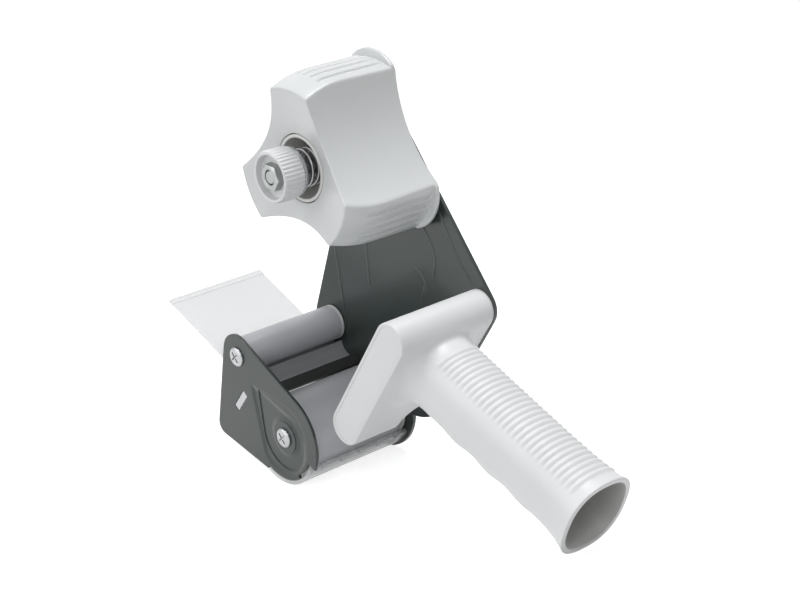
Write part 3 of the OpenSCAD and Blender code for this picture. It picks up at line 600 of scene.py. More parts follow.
def soft_copy(node, width):
    """A merged copy of a CAD node in the side view, with flat faces whole and sharp edges round."""
    bm = bmesh.new()
    bm.from_mesh(frame["nodes"][node].data)
    bmesh.ops.transform(bm, matrix=STAND.inverted(), verts=bm.verts)
    bmesh.ops.remove_doubles(bm, verts=bm.verts, dist=0.005)
    bmesh.ops.dissolve_degenerate(bm, dist=0.004, edges=bm.edges)
    bmesh.ops.dissolve_limit(bm, angle_limit=FLAT, verts=bm.verts, edges=bm.edges)
    bm.normal_update()
    edges = [edge for edge in bm.edges if len(edge.link_faces) == 2 and edge.calc_face_angle() > SHARP]
    bmesh.ops.bevel(
        bm, geom=edges, offset=width, segments=2, profile=0.5, affect="EDGES", clamp_overlap=True)
    return bm


def joined(*meshes):
    """One shape from several meshes."""
    bm = bmesh.new()
    for mesh in meshes:
        bm.from_mesh(mesh)
        bpy.data.meshes.remove(mesh)
    return bm


def upright(profile, sides):
    """A mesh turned about Z, from points of radius and height."""
    bm = lathe(bmesh.new(), Vector((0, 0)), [(radius, -height) for radius, height in profile], sides, False)
    bmesh.ops.transform(bm, matrix=ALONG_Y, verts=bm.verts)
    return plain_mesh(bm, "turned")


def block(size, height, turn):
    """A cutting block at a height, turned about Z."""
    bm = bmesh.new()
    bmesh.ops.create_cube(bm, size=1.0)
    bmesh.ops.scale(bm, verts=bm.verts, vec=size)
    bmesh.ops.rotate(bm, verts=bm.verts, cent=(0, 0, 0), matrix=Matrix.Rotation(turn, 3, "Z"))
    bmesh.ops.translate(bm, verts=bm.verts, vec=(0, 0, height))
    return plain_mesh(bm, "block")


# Geometry Nodes


def form_tree(name, **inputs):
    """A Geometry Nodes tree with named inputs. Gives the tree and its inputs."""
    tree, start = new_group(name, "Geometry", {**inputs, "Finish": "Material"}, {"Geometry": "Geometry"})
    tree.is_modifier = True
    return tree, start


def close_tree(tree, start, last):
    """Ends a tree with real geometry and its finish."""
    real = add(tree, "GeometryNodeRealizeInstances", (500, 0), Geometry=last)
    dressed = add(
        tree, "GeometryNodeSetMaterial", (700, 0), Geometry=real.outputs[0], Material=start["Finish"])
    add(tree, "NodeGroupOutput", (900, 0), Geometry=dressed.outputs[0])
    return tree


def copies_tree(name):
    """Sets copies of a piece on points, each turned to its point's own direction."""
    tree, start = form_tree(name, Geometry="Geometry", Piece="Object", Size="Float")
    source = add(tree, "GeometryNodeObjectInfo", (-600, -200), Object=start["Piece"])
    facing = add(
        tree, "GeometryNodeInputNamedAttribute", (-600, -400), data_type="FLOAT_VECTOR", Name="facing")
    turned = add(
        tree, "FunctionNodeAlignRotationToVector", (-350, -400), axis="Z",
        Vector=facing.outputs["Attribute"])
    points = add(tree, "GeometryNodeMeshToPoints", (-350, 100), Mesh=start["Geometry"])
    placed = add(
        tree, "GeometryNodeInstanceOnPoints", (100, 0), Points=points.outputs[0],
        Instance=source.outputs["Geometry"], Rotation=turned.outputs["Rotation"], Scale=start["Size"])
    return close_tree(tree, start, placed.outputs[0])


def circle_tree(name):
    """Sets copies of a piece round an axis."""
    tree, start = form_tree(name, Piece="Object", Count="Int", Radius="Float")
    source = add(tree, "GeometryNodeObjectInfo", (-600, -200), Object=start["Piece"])
    circle = add(
        tree, "GeometryNodeMeshCircle", (-600, 100), Vertices=start["Count"], Radius=start["Radius"])
    index = add(tree, "GeometryNodeInputIndex", (-600, -450)).outputs[0]
    step = sums(tree, "DIVIDE", (-600, -600), 2 * math.pi, start["Count"])
    angle = sums(tree, "MULTIPLY", (-400, -500), index, step)
    turn = add(tree, "ShaderNodeCombineXYZ", (-200, -500), Z=angle)
    placed = add(
        tree, "GeometryNodeInstanceOnPoints", (100, 0), Points=circle.outputs[0],
        Instance=source.outputs["Geometry"], Rotation=turn.outputs[0])
    return close_tree(tree, start, placed.outputs[0])


def coil_tree(name):
    """A round wire wound into a coil."""
    tree, start = form_tree(name, Turns="Float", Radius="Float", Height="Float", Wire="Float")
    spiral = add(
        tree, "GeometryNodeCurveSpiral", (-500, 100), Resolution=40, Rotations=start["Turns"],
        Start_Radius=start["Radius"], End_Radius=start["Radius"], Height=start["Height"])
    section = add(
        tree, "GeometryNodeCurvePrimitiveCircle", (-500, -300), Resolution=14, Radius=start["Wire"])
    wound = add(
        tree, "GeometryNodeCurveToMesh", (0, 0), Curve=spiral.outputs[0], Profile_Curve=section.outputs[0],
        Fill_Caps=True)
    return close_tree(tree, start, wound.outputs[0])


def grow(tree, base=None, piece=None, **values):
    """Runs a tree with its inputs set, and gives the plain mesh. piece is the mesh it copies."""
    if piece:
        values["Piece"] = put("piece", piece)
    item = put("form", base or bpy.data.meshes.new("form"))
    modifier = item.modifiers.new("Form", "NODES")
    modifier.node_group = tree
    for socket in tree.interface.items_tree:
        if socket.in_out == "INPUT" and socket.name in values:
            modifier[socket.identifier] = values[socket.name]
    mesh = baked(item)
    if piece:
        bpy.data.objects.remove(values["Piece"])
    return mesh


# Hub


HUB_Y0, HUB_Y1 = 6.2, 50.8
DISH_Y, WEB_Y, WEB_T = 10.8, 28.4, 2.5
HUB_R, NOSE_R, NOSE_LEN = 37.6, 33.4, 18.0
LIP_R, LIP_ROUND, LIP_W, LIP_STEP, LIP_SOFT = 41.1, 18.0, 2.0, 0.3, 0.45
WAIST_R, WAIST_FAR, WAIST_NEAR = 57.0, 23.0, 21.3
SOCKET_R, HUB_WALL, HUB_EDGE = 14.2, 2.2, 0.3
BOSS_IN, BOSS_OUT = 8.06, 10.56
LOBE_TURN, LOBES, LOBE_SOFT = 92.0, 3, 1.4
GROOVES, GROOVE_STEP, GROOVE_HALF, GROOVE_SIDE, GROOVE_D = 4, 7.4, 1.3, 0.4, 0.85
GROOVE_Y, GROOVE_STEPS, GROOVE_END = (16.0, 47.8), 12, 0.4
RIM = 0.45
ANGLE_STEP, EDGE_TURN, EDGE_STEP, LEAST_STEP = 1.5, 16.0, 0.5, 0.15


def nearest_turn(angle, first):
    """Offset of an angle from the nearest of the lobes' directions."""
    span = 360 / LOBES
    return (angle - first + span / 2) % span - span / 2


def soft_min(a, b, width):
    """The smaller of two values, with a rounded change from one to the other."""
    overlap = max(width - abs(a - b), 0) / width
    return min(a, b) - overlap * overlap * width / 4


def nose_radius(y):
    """Radius of the lobes at a level."""
    return HUB_R - (HUB_R - NOSE_R) * (1 - clamp((y - HUB_Y0) / NOSE_LEN)) ** 2


def waist_radius(angle, y):
    """Distance from the axis to the hollow between two lobes."""
    offset = math.radians(nearest_turn(angle, LOBE_TURN + 180 / LOBES))
    reach = mix(WAIST_NEAR, WAIST_FAR, (y - HUB_Y0) / (HUB_Y1 - HUB_Y0)) + WAIST_R
    side = reach * math.sin(offset)
    if abs(side) >= WAIST_R:
        return HUB_R * 4
    return reach * math.cos(offset) - math.sqrt(WAIST_R**2 - side**2)


def skin_radius(angle, y, lip=False):
    """Radius of the hub's outer skin, with or without a lip."""
    outer = nose_radius(y)
    if lip:
        offset = math.radians(nearest_turn(angle, LOBE_TURN))
        middle_r = LIP_R - LIP_ROUND
        side = middle_r * math.sin(offset)
        if abs(side) < LIP_ROUND and abs(offset) < 1:
            outer = max(outer, middle_r * math.cos(offset) + math.sqrt(LIP_ROUND**2 - side**2))
    return soft_min(outer, waist_radius(angle, y), LOBE_SOFT)


def groove_turns():
    """Directions of the grooves from the middle of their lobe."""
    return [(k - (GROOVES - 1) / 2) * GROOVE_STEP for k in range(GROOVES)]


def groove_depth(angle, y):
    """Depth of the grooves at a place on the skin."""
    away = min(abs(nearest_turn(angle, LOBE_TURN) - turn) for turn in groove_turns())
    inside = min(y - GROOVE_Y[0], GROOVE_Y[1] - y)
    depth = clamp((GROOVE_HALF + GROOVE_SIDE - away) / (2 * GROOVE_SIDE))
    return GROOVE_D * depth * clamp(inside / GROOVE_END + 0.5)


def dish_level(radius):
    """Level of the dished near face at a radius."""
    return DISH_Y - (radius - SOCKET_R) / (NOSE_R - SOCKET_R) * (DISH_Y - HUB_Y0)


def hub_angles():
    """Directions round the hub, closer together at the lobes' corners and the grooves."""
    angles = set()
    for lobe in range(LOBES):
        first = LOBE_TURN + lobe * 360 / LOBES
        angles.update(first + i * ANGLE_STEP for i in range(-40, 40))
        for side in (-1, 1):
            angles.update(first + side * (EDGE_TURN + EDGE_STEP * i) for i in range(12))
            for step in (-GROOVE_SIDE, 0, GROOVE_SIDE):
                angles.update(first + turn + side * (GROOVE_HALF + step) for turn in groove_turns())
    kept = []
    for angle in sorted(round(angle, 3) % 360 for angle in angles):
        if not kept or angle - kept[-1] > LEAST_STEP:
            kept.append(angle)
    return kept


def hub_front(angle):
    """Points from the boss over the socket and the dish to the rounded near rim, and its level."""
    front = skin_radius(angle, HUB_Y0)
    for _ in range(4):
        front = skin_radius(angle, dish_level(front))
    y0 = dish_level(front)
    socket = [(BOSS_IN, WEB_Y), (SOCKET_R, WEB_Y), (SOCKET_R, DISH_Y), (front, y0)]
    points = eased(socket, [0, 0.3, 0.2, 0], 3, False)[:-1]
    points += [(mix(SOCKET_R, front, share), mix(DISH_Y, y0, share)) for share in (0.3, 0.6)]
    start = Vector((front - RIM, dish_level(front - RIM)))
    stop = Vector((skin_radius(angle, y0 + RIM), y0 + RIM))
    points += [tuple(bend(start, Vector((front, y0)), stop, k / 5)) for k in range(6)]
    return points, y0 + RIM


def hub_skin(angle, y0):
    """Points along the grooved skin."""
    first, last = GROOVE_Y
    steps = [mix(y0, first - GROOVE_END * 1.5, i / 6) for i in range(1, 7)]
    steps.append(first - GROOVE_END / 2)
    inside = GROOVE_END / 2
    steps += [mix(first + inside, last - inside, i / GROOVE_STEPS) for i in range(GROOVE_STEPS + 1)]
    steps.append(last + inside)
    return [(skin_radius(angle, y) - groove_depth(angle, y), y) for y in steps]


def hub_lip(angle):
    """Points round the lip at the far rim."""
    y0, y1 = HUB_Y1 - LIP_W, HUB_Y1 - LIP_STEP
    plain = skin_radius(angle, y0)
    lip = skin_radius(angle, y0, True)
    flat, corner, nick = max(plain, lip - LIP_SOFT), max(plain, lip - LIP_SOFT * 0.3), LIP_SOFT * 0.3
    points = [(plain, y0), (flat, y0), (corner, y0 + nick), (lip, y0 + LIP_SOFT)]
    points += [(lip, y1 - LIP_SOFT), (corner, y1 - nick), (flat, y1), (plain, y1)]
    inner = plain - HUB_WALL
    return points + [(plain - HUB_EDGE, HUB_Y1), (inner + HUB_EDGE, HUB_Y1), (inner, HUB_Y1 - HUB_EDGE)]


def hub_inside(angle):
    """Points along the inside of the wall, the dish and the boss."""
    points = [(skin_radius(angle, y) - HUB_WALL, y) for y in (40.0, 30.0, 22.0, 16.0)]
    inner = skin_radius(angle, HUB_Y0 + HUB_WALL * 2) - HUB_WALL
    shell = SOCKET_R + HUB_WALL
    points += [(inner, dish_level(inner) + HUB_WALL), (shell, DISH_Y + HUB_WALL), (shell, WEB_Y + WEB_T)]
    return points + [(BOSS_OUT, WEB_Y + WEB_T), (BOSS_OUT, HUB_Y1), (BOSS_IN, HUB_Y1)]


def hub_path(angle):
    """Points of radius and level round the hub's wall, at one direction."""
    front, y0 = hub_front(angle)
    return front + hub_skin(angle, y0) + hub_lip(angle) + hub_inside(angle)


class TAPEGUN_OT_hub(bpy.types.Operator):
    """Makes the three-lobed hub with its rims, grooves, lips and socket"""

    bl_idname = "tape_gun.hub"
    bl_label = "Tape hub"

    def execute(self, context):
        angles = hub_angles()
        rings = []
        for row in zip(*(hub_path(angle) for angle in angles)):
            places = zip(angles, row)
            rings.append([aside(HUB_AT + polar(radius, angle), y) for angle, (radius, y) in places])
        settle("hub_shell", woven(rings, closed=True), "hub", sharp=42)
        return {"FINISHED"}


# Handle


BAR_R, BAR_LEN, BAR_SLOPE, BAR_NEAR, BAR_STEPS = 7.9, 55.2, 60.4, 5.0, 32
BAR_TOP = Vector((61.2, 65.3))
BAR_DIR = polar(1, BAR_SLOPE)
BAR_UP = Vector((-BAR_DIR.y, BAR_DIR.x))
BAR_MID = BAR_TOP - BAR_DIR * (BAR_LEN / 2)
PANEL_SINK, PANEL_T, PANEL_RIM, PANEL_SEAT = 0.6, 1.8, 1.6, 0.06
ARCH_R, ARCH_EDGE, ARCH_RISE = 11.0, 3.4, 5.5
GRIP_LEN, GRIP_DROOP = 98.6, 17.0
RING_LEAN, LEAN_FADE = GRIP_DROOP + 1, 12
GRIP_Y = (BAR_NEAR + MAIN_Y) / 2
GRIP_ROOT = BAR_MID + Vector((BAR_R, 6.9))
ROOT_AT = (BAR_R + (GRIP_ROOT - BAR_MID).dot(BAR_UP)) / math.cos(math.radians(90 - BAR_SLOPE - GRIP_DROOP))
GRIP_UP, GRIP_SIDE, GRIP_SWELL, GRIP_FULL = 15.4, 14.2, 2.6, 0.8
MOUTH_UP, MOUTH_SIDE, MOUTH_FLARE, MOUTH_ROUND = 17.5, 16.5, 7.0, 1.2
FINGER_COUNT, FINGER_D, FINGER_ROOT, FINGER_END = 3, 1.4, 25.1, 16.5
FINGER_PITCH = (GRIP_LEN - FINGER_ROOT - FINGER_END) / FINGER_COUNT
RIB_ROOT, RIB_END, RIB_ROWS, RIB_FROM, RIB_FADE, RIB_FULL = 13.6, 5.5, 6, 0.64, 0.18, 0.7
RIB_LEN = GRIP_LEN - RIB_ROOT - RIB_END
FOOT_UP, FOOT_DOWN, FOOT_SIDE, FOOT_SUNK = 3.5, 14.0, 9.0, 0.25
FLARE_UP, FLARE_DOWN, FLARE_SIDE, FLARE_STEPS = 2.8, 12.0, 10.0, 16
GRIP_SIDES = 112
WALL_IN, HOLLOW_D = 2.3, 78.0


def fade(x, span):
    """Falls from 1 at zero over a span."""
    return math.exp(-max(0, x) / span)


def mouth(s):
    """Runs up to 1 at the grip's open end."""
    return fade(GRIP_LEN - s, MOUTH_FLARE)


def lean_at(s):
    """Lean of the grip's rings at a length."""
    return RING_LEAN + (90 - BAR_SLOPE - RING_LEAN) * fade(s - ROOT_AT, LEAN_FADE)


def grip_at(s):
    """A place on the grip's axis."""
    droop = math.radians(GRIP_DROOP)
    return GRIP_ROOT + Vector((math.cos(droop), -math.sin(droop))) * s


def grip_top(s):
    """Height of the grip over its axis."""
    return GRIP_UP + (MOUTH_UP - GRIP_UP) * mouth(s) + GRIP_SWELL * fade(s, RIB_LEN / 2)


def grip_bottom(s):
    """Depth of the grip under its axis, with the finger hollows."""
    t = s - FINGER_ROOT
    finger = 0.0
    if 0 < t < FINGER_PITCH * FINGER_COUNT:
        finger = FINGER_D / 2 * (1 - math.cos(2 * math.pi * t / FINGER_PITCH))
    low = GRIP_UP - FINGER_D
    return low + finger + (MOUTH_UP - low) * mouth(s)


def power(value):
    """A share of the grip's section, which is fuller than an ellipse."""
    return math.copysign(abs(value) ** GRIP_FULL, value)


def round_grip(angle):
    """Shares up and across of a direction round the grip."""
    return math.sin(math.radians(angle)), math.cos(math.radians(angle))


def grip_point(s, angle, inset=0.0, lift=0.0):
    """A place on the grip at a length and an angle round it."""
    up, across = round_grip(angle)
    half = grip_top(s) if up > 0 else grip_bottom(s)
    more = lift * smooth((up - RIB_FROM) / RIB_FADE) - inset
    side = GRIP_SIDE + (MOUTH_SIDE - GRIP_SIDE) * mouth(s)
    lean = math.radians(lean_at(s))
    place = grip_at(s) + Vector((math.sin(lean), math.cos(lean))) * ((half + more) * power(up))
    return aside(place, GRIP_Y + (side + more) * power(across))


def foot_point(angle, spread):
    """A place of the grip's foot on the crossbar's surface."""
    up, across = round_grip(angle)
    plain = grip_point(ROOT_AT, angle)
    reach = FOOT_UP if up > 0 else FOOT_DOWN
    t = (Vector((plain.x, plain.z)) - BAR_MID).dot(BAR_DIR) + spread * up * reach
    beyond = max(0, abs(t) - BAR_LEN / 2)
    out = math.sqrt(max(0, BAR_R**2 - beyond**2)) - FOOT_SUNK
    return aside(BAR_MID + BAR_DIR * t - BAR_UP * out, plain.y + spread * across * FOOT_SIDE)


def flare_point(angle, share):
    """A place on the fillet between the crossbar and the plain grip."""
    up, across = round_grip(angle)
    reach = FLARE_SIDE * across**2 + (FLARE_UP if up > 0 else FLARE_DOWN) * up**2
    return (foot_point(angle, 1) * (1 - share) ** 2 + foot_point(angle, 0) * 2 * share * (1 - share)
            + grip_point(ROOT_AT + reach, angle) * share**2)


def grip_shell(ribs, rib_height):
    """The grip with its fillet, ribs, finger hollows, rounded mouth and hollow."""
    angles = [360 * i / GRIP_SIDES for i in range(GRIP_SIDES)]
    rings = [[foot_point(a, 1) + aside(-BAR_UP, 0) * -3 for a in angles]]
    rings += [[flare_point(a, k / FLARE_STEPS) for a in angles] for k in range(FLARE_STEPS + 1)]
    for k in range(ribs * RIB_ROWS + 1):
        lift = rib_height * (0.5 - 0.5 * math.cos(2 * math.pi * k / RIB_ROWS)) ** RIB_FULL
        rings.append([grip_point(RIB_ROOT + RIB_LEN * k / (ribs * RIB_ROWS), a, 0, lift) for a in angles])
    plain_end, curve_start = GRIP_LEN - RIB_END, GRIP_LEN - MOUTH_ROUND
    rings += [[grip_point(mix(plain_end, curve_start, k / 5), a) for a in angles] for k in range(1, 6)]
    rim = [(curve_start, 0), (GRIP_LEN, 0), (GRIP_LEN, WALL_IN), (GRIP_LEN - 3, WALL_IN)]
    for s, inset in eased(rim, [0, MOUTH_ROUND, 0.4, 0], 4, False)[1:]:
        rings.append([grip_point(s, a, inset) for a in angles])
    for depth in (8, 16, 26, 38, 52, 66, HOLLOW_D):
        rings.append([grip_point(GRIP_LEN - depth, a, WALL_IN) for a in angles])
    return plain_mesh(woven(rings, capped=True), "grip")


def bar_ring(more, y):
    """A ring round the crossbar's outline, wider by more."""
    points = []
    for end, first in ((1, -90), (-1, 90)):
        for i in range(BAR_STEPS + 1):
            place = polar(BAR_R + more, first + BAR_SLOPE + 180 * i / BAR_STEPS)
            place += BAR_MID + BAR_DIR * (end * BAR_LEN / 2)
            points.append(aside(place, y))
    return points


def bar_shell(profile, name):
    """A solid along Y with the crossbar's outline, from points of growth and level."""
    return plain_mesh(woven([bar_ring(more, y) for more, y in profile], capped=True), name)


def arch_tool():
    """The round tool that cuts the arch under the crossbar."""
    reach = 4 * BAR_R
    arch = upright([(0, -reach), (ARCH_R, -reach), (ARCH_R, reach), (0, reach)], 96)
    low = BAR_MID - BAR_DIR * (BAR_LEN / 2 + BAR_R - ARCH_RISE)
    arch.transform(
        Matrix.Translation(aside(low, MAIN_Y - ARCH_R - ARCH_EDGE))
        @ Matrix.Rotation(math.radians(90 - BAR_SLOPE), 4, "Y")
        @ Matrix.Rotation(math.radians(90), 4, "Y"))
    return arch


def paint_shade_in_hollow(item):
    """Gives the faces in the grip's hollow a darker colour, painted shade of the deep inside."""
    item.data.materials.append(FINISHES["hollow"])
    back = STAND.inverted()
    along = grip_at(1) - grip_at(0)
    for face in item.data.polygons:
        centre = back @ face.center
        s = (Vector((centre.x, centre.z)) - GRIP_ROOT).dot(along)
        arm = centre - aside(grip_at(s), GRIP_Y)
        inward = -arm.normalized().dot((back.to_3x3() @ face.normal).normalized())
        if s > GRIP_LEN - HOLLOW_D and arm.length < MOUTH_UP and inward > 0.7:
            face.material_index = 1


class TAPEGUN_OT_handle(bpy.types.Operator):
    """Makes the grip with its ribs, and the crossbar with its end panel"""

    bl_idname = "tape_gun.handle"
    bl_label = "Handle"

    def execute(self, context):
        sizes = context.scene.tape_gun_sizes
        floor = BAR_NEAR + PANEL_SINK + PANEL_T
        profile = [(0, MAIN_Y), (0, BAR_NEAR), (-PANEL_RIM, BAR_NEAR), (-PANEL_RIM, floor)]
        bar = bar_shell(eased(profile, [0, 1.1, 0.35, 0], 5, False), "bar")
        whole = carve(bar, grip_shell(sizes.ribs, sizes.rib / MM), "UNION")
        whole = carve(whole, arch_tool(), "DIFFERENCE")
        # The faces in the grip's hollow get painted shade
        paint_shade_in_hollow(settle("handle_shell", joined(whole), "handle", sharp=50))
        inner = PANEL_SEAT - PANEL_RIM
        top = BAR_NEAR + PANEL_SINK * 0.35
        outline = [(inner, floor - 0.02), (inner, top), (inner - 5, top)]
        panel = bar_shell(eased(outline, [0, 0.3, 0], 3, False), "panel")
        settle("end_panel_plate", joined(panel), "end_panel", sharp=50)
        return {"FINISHED"}


# Plates


DROP_TIP, DROP_BODY = Vector((-21.0, 15.2)), Vector((-2.6, -2.2))
DROP_TIP_R, DROP_BODY_R, DROP_SLOPE = 1.4, 16.2, 1.5
SEAT_R, SEAT_SLOPE = 7.4, 2.0
PRESS_STEP = 0.9


def drop_relief(x, z):
    """Share of the pressed depth of the drop on the side plate at a place."""
    place = Vector((x, z))
    axis = DROP_BODY - DROP_TIP
    along = clamp((place - DROP_TIP).dot(axis) / axis.length_squared)
    inside = mix(DROP_TIP_R, DROP_BODY_R, along) - (place - DROP_TIP - axis * along).length
    return smooth(inside / DROP_SLOPE) * smooth((place.length - SEAT_R) / SEAT_SLOPE)


def press_drop(bm, depth):
    """Cuts the side plate into fine strips both ways, and presses the drop into it."""
    for axis, normal in ((0, (1, 0, 0)), (2, (0, 0, 1))):
        levels = [vert.co[axis] for vert in bm.verts]
        place, last = min(levels) + PRESS_STEP, max(levels)
        while place < last:
            bmesh.ops.bisect_plane(
                bm, geom=bm.verts[:] + bm.edges[:] + bm.faces[:], dist=0.001,
                plane_co=Vector(normal) * place, plane_no=normal)
            place += PRESS_STEP
    for vert in bm.verts:
        vert.co.y += depth * drop_relief(vert.co.x, vert.co.z)
    bmesh.ops.triangulate(bm, faces=bm.faces)


CREASES = (
    ((-30.6, 65.0), (-29.9, 61.9), (-26.3, 45.2), (-23.2, 29.5), (-20.6, 17.0)),
    ((-9.6, 76.0), (-9.1, 71.6), (-6.4, 48.3)),
    ((21.0, 95.0), (25.0, 91.3), (29.9, 86.3), (33.6, 80.9), (34.6, 76.4), (33.8, 70.3), (33.0, 64.7)),
    ((30.0, 108.0), (35.8, 99.5), (41.2, 91.7), (47.9, 83.1), (53.2, 78.2), (57.5, 73.0)),
    ((20.2, 69.4), (24.9, 68.7), (28.7, 63.8), (27.7, 60.2), (25.3, 53.9)),
)
CREASE_HALF, CREASE_STEP, CREASE_TAPER, CREASE_LEAST = 0.9, 1.0, 5.0, 0.08

# Shares of a crease's half width and height, and at its two feet the depth in the plate
CREASE_SECTION = ((-1, 0.3), (-0.85, 0), (-0.45, -0.75), (0, -1), (0.45, -0.75), (0.85, 0), (1, 0.3))


def stations(points):
    """Places at equal steps along a line through points."""
    path = [Vector(point) for point in eased(points, 8, 6, False)]
    out = [path[0]]
    for place in path[1:]:
        while (place - out[-1]).length > CREASE_STEP:
            out.append(out[-1] + (place - out[-1]).normalized() * CREASE_STEP)
    return out


def crease(bm, points, height):
    """A soft raised line on the main plate's inner face, thinner at its ends."""
    places = stations(points)
    last = len(places) - 1
    rings = []
    for i, place in enumerate(places):
        ahead = (places[min(i + 1, last)] - places[max(i - 1, 0)]).normalized()
        side = Vector((-ahead.y, ahead.x))
        size = max(CREASE_LEAST, smooth(min(i, last - i) * CREASE_STEP / CREASE_TAPER))
        ring = []
        for across, out in CREASE_SECTION:
            level = MAIN_Y + (out * height * size if out < 0 else out)
            ring.append(aside(place + side * across * CREASE_HALF * size, level))
        rings.append(ring_of(bm, ring))
    weave(bm, rings, capped=True)


class TAPEGUN_OT_plates(bpy.types.Operator):
    """Makes the two plates with round edges, the pressed drop and the creases"""

    bl_idname = "tape_gun.plates"
    bl_label = "Plates"

    def execute(self, context):
        sizes = context.scene.tape_gun_sizes
        side = soft_copy("side_plate", sizes.plate_edge / MM)
        press_drop(side, sizes.relief / MM)
        settle("side_plate_sheet", side, "side_plate", sharp=25)
        main_plate = soft_copy("main_plate", sizes.plate_edge / MM)
        for points in CREASES:
            crease(main_plate, points, sizes.crease / MM)
        settle("main_plate_sheet", main_plate, "main_plate", sharp=25)
        return {"FINISHED"}


# Rollers


ROLLER_Y0, ROLLER_Y1 = 1.6, 52.6
ROLLER_R, ROLLER_WALL, GUIDE_R, GUIDE_WALL = 17.1, 2.4, 7.7, 1.6
CAP_T, CAP_RIM, CAP_DIP, CAP_FLOOR, CAP_BOSS, BORE = 1.4, 1.0, 0.45, 0.4, 1.4, 3.06
PLUG_LEN, PLUG_T, PLUG_PLAY = 6, 1.4, 0.2
ROLLERS = {
    "guide_roller": (GUIDE_AT, GUIDE_R, GUIDE_WALL),
    "application_roller": (ROLLER_AT, ROLLER_R, ROLLER_WALL),
}


def roller_tube(centre, radius, wall):
    """A roller's tube with eased rims."""
    y0, y1 = ROLLER_Y0 + CAP_T, ROLLER_Y1 - CAP_T
    outline = [(radius, y0), (radius, y1), (radius - wall, y1), (radius - wall, y0)]
    return lathe(bmesh.new(), centre, eased(outline, 0.3), 128)


def roller_caps(centre, radius, wall):
    """The two caps of a roller: a flange with a raised rim and a boss, and its plug."""
    bm = bmesh.new()
    rim, boss, plug = radius - CAP_RIM, BORE + CAP_BOSS, radius - wall - PLUG_PLAY
    floor, end = CAP_T + CAP_FLOOR, CAP_T + PLUG_LEN
    outline = [
        (BORE, 0), (boss, 0), (boss + 0.3, CAP_DIP), (rim - 0.3, CAP_DIP), (rim, 0), (radius, 0),
        (radius, CAP_T), (plug, CAP_T), (plug, end), (plug - PLUG_T, end), (plug - PLUG_T, floor),
        (boss, floor), (boss, end), (BORE, end)]
    soft = [0, 0.2, 0, 0, 0.2, 0.35, 0.1, 0, 0.3, 0.2, 0, 0, 0.2, 0]
    for face, sense in ((ROLLER_Y0, 1), (ROLLER_Y1, -1)):
        lathe(bm, centre, eased([(r, face + sense * y) for r, y in outline], soft), 96)
    return bm


class TAPEGUN_OT_rollers(bpy.types.Operator):
    """Makes both rollers and their caps"""

    bl_idname = "tape_gun.rollers"
    bl_label = "Rollers"

    def execute(self, context):
        for node, sizes in ROLLERS.items():
            settle(node + "_tube", roller_tube(*sizes), node)
            settle(node + "_ends", roller_caps(*sizes), node + "_caps")
        return {"FINISHED"}


# Tape brake


KNOB_Y0, KNOB_Y1, KNOB_R, RIDGE_SEAT, RIDGE_SHARE = -4.4, 5.6, 10.4, 0.15, 0.62
KNOB_FLOOR, KNOB_POCKET, KNOB_WALL = 3.2, 2.4, 1.5
BOLT_R, BOLT_PLAY, NUT_PLAY, THREAD_PITCH, THREAD_D = 3.0, 0.1, 0.06, 1.0, 0.18
HEX_R, NUT_H, NUT_CHAMFER = 5.0 / math.cos(math.radians(30)), 6.0, 0.5
HEAD_Y0, HEAD_Y1, HEAD_CHAMFER = BACK_Y + 1.6, BACK_Y + 5.6, 0.6
CUP_R, CUP_WALL, CUP_Y1, CUP_BOTTOM = 13.8, 1.4, 27.6, 1.5
SPRING_R, SPRING_Y0, SPRING_Y1 = 7.5, 7.2, 26.0

# A ridge's section, as height and share of the half width
RIDGE_SECTION = ((-1.0, -1), (0.0, -1), (0.34, -0.45), (0.45, 0), (0.34, 0.45), (0.0, 1), (-1.0, 1))
# A ridge's levels along the knob, with its share of full size there
RIDGE_LINE = ((KNOB_Y0 + 0.25, 0.3), (KNOB_Y0 + 0.9, 1.0), (KNOB_Y1 - 1.1, 1.0), (KNOB_Y1 - 0.35, 0.3))


def hex_ring(radius, limit, level):
    """A six-sided ring with a few points on each side, cut at a limit from the axis."""
    points = []
    for k in range(6):
        a, b = polar(radius, 60 * k), polar(radius, 60 * k + 60)
        for i in range(6):
            arm = a.lerp(b, i / 6)
            points.append(aside(HUB_AT + arm * min(1, limit / arm.length), level))
    return points


def hex_body(radius, y0, y1, bore, chamfer):
    """A hexagon along Y with turned-off corners, and a bore if it has one."""
    flats = radius * math.cos(math.radians(30))
    shoulder = mix(flats, radius, 0.5)
    rings = [
        (flats * 0.94, y0), (shoulder, y0 + chamfer * 0.6), (radius, y0 + chamfer),
        (radius, y1 - chamfer), (shoulder, y1 - chamfer * 0.6), (flats * 0.94, y1)]
    if bore:
        rings += [(bore + 0.4, y1), (bore, y1 - 0.4), (bore, y0 + 0.4), (bore + 0.4, y0)]
    return woven([hex_ring(radius, limit, y) for limit, y in rings], closed=bool(bore), capped=not bore)


def bolt_shape():
    """The bolt with its head and thread."""
    profile = [(0, KNOB_Y0), (BOLT_R - 0.6, KNOB_Y0), (BOLT_R, KNOB_Y0 + 0.6)]
    level = KNOB_Y0 + 0.9
    while level < SPRING_Y1:
        profile += [(BOLT_R - THREAD_D, level), (BOLT_R, level + THREAD_PITCH / 2)]
        level += THREAD_PITCH
    neck = HEAD_Y0 + 0.1
    profile += [(BOLT_R, level), (BOLT_R, neck), (0, neck)]
    return lathe(hex_body(HEX_R, HEAD_Y0, HEAD_Y1, 0, HEAD_CHAMFER), HUB_AT, profile, 40, closed=False)


def bowl(outer, wall, rim, far, floor, soft):
    """A round bowl with a bore for the bolt, open at its rim, from radii and levels."""
    bore, inner = BOLT_R + BOLT_PLAY, outer - wall
    outline = [(outer, rim), (outer, far), (bore, far), (bore, floor), (inner, floor), (inner, rim)]
    return lathe(bmesh.new(), HUB_AT, eased(outline, soft), 120)


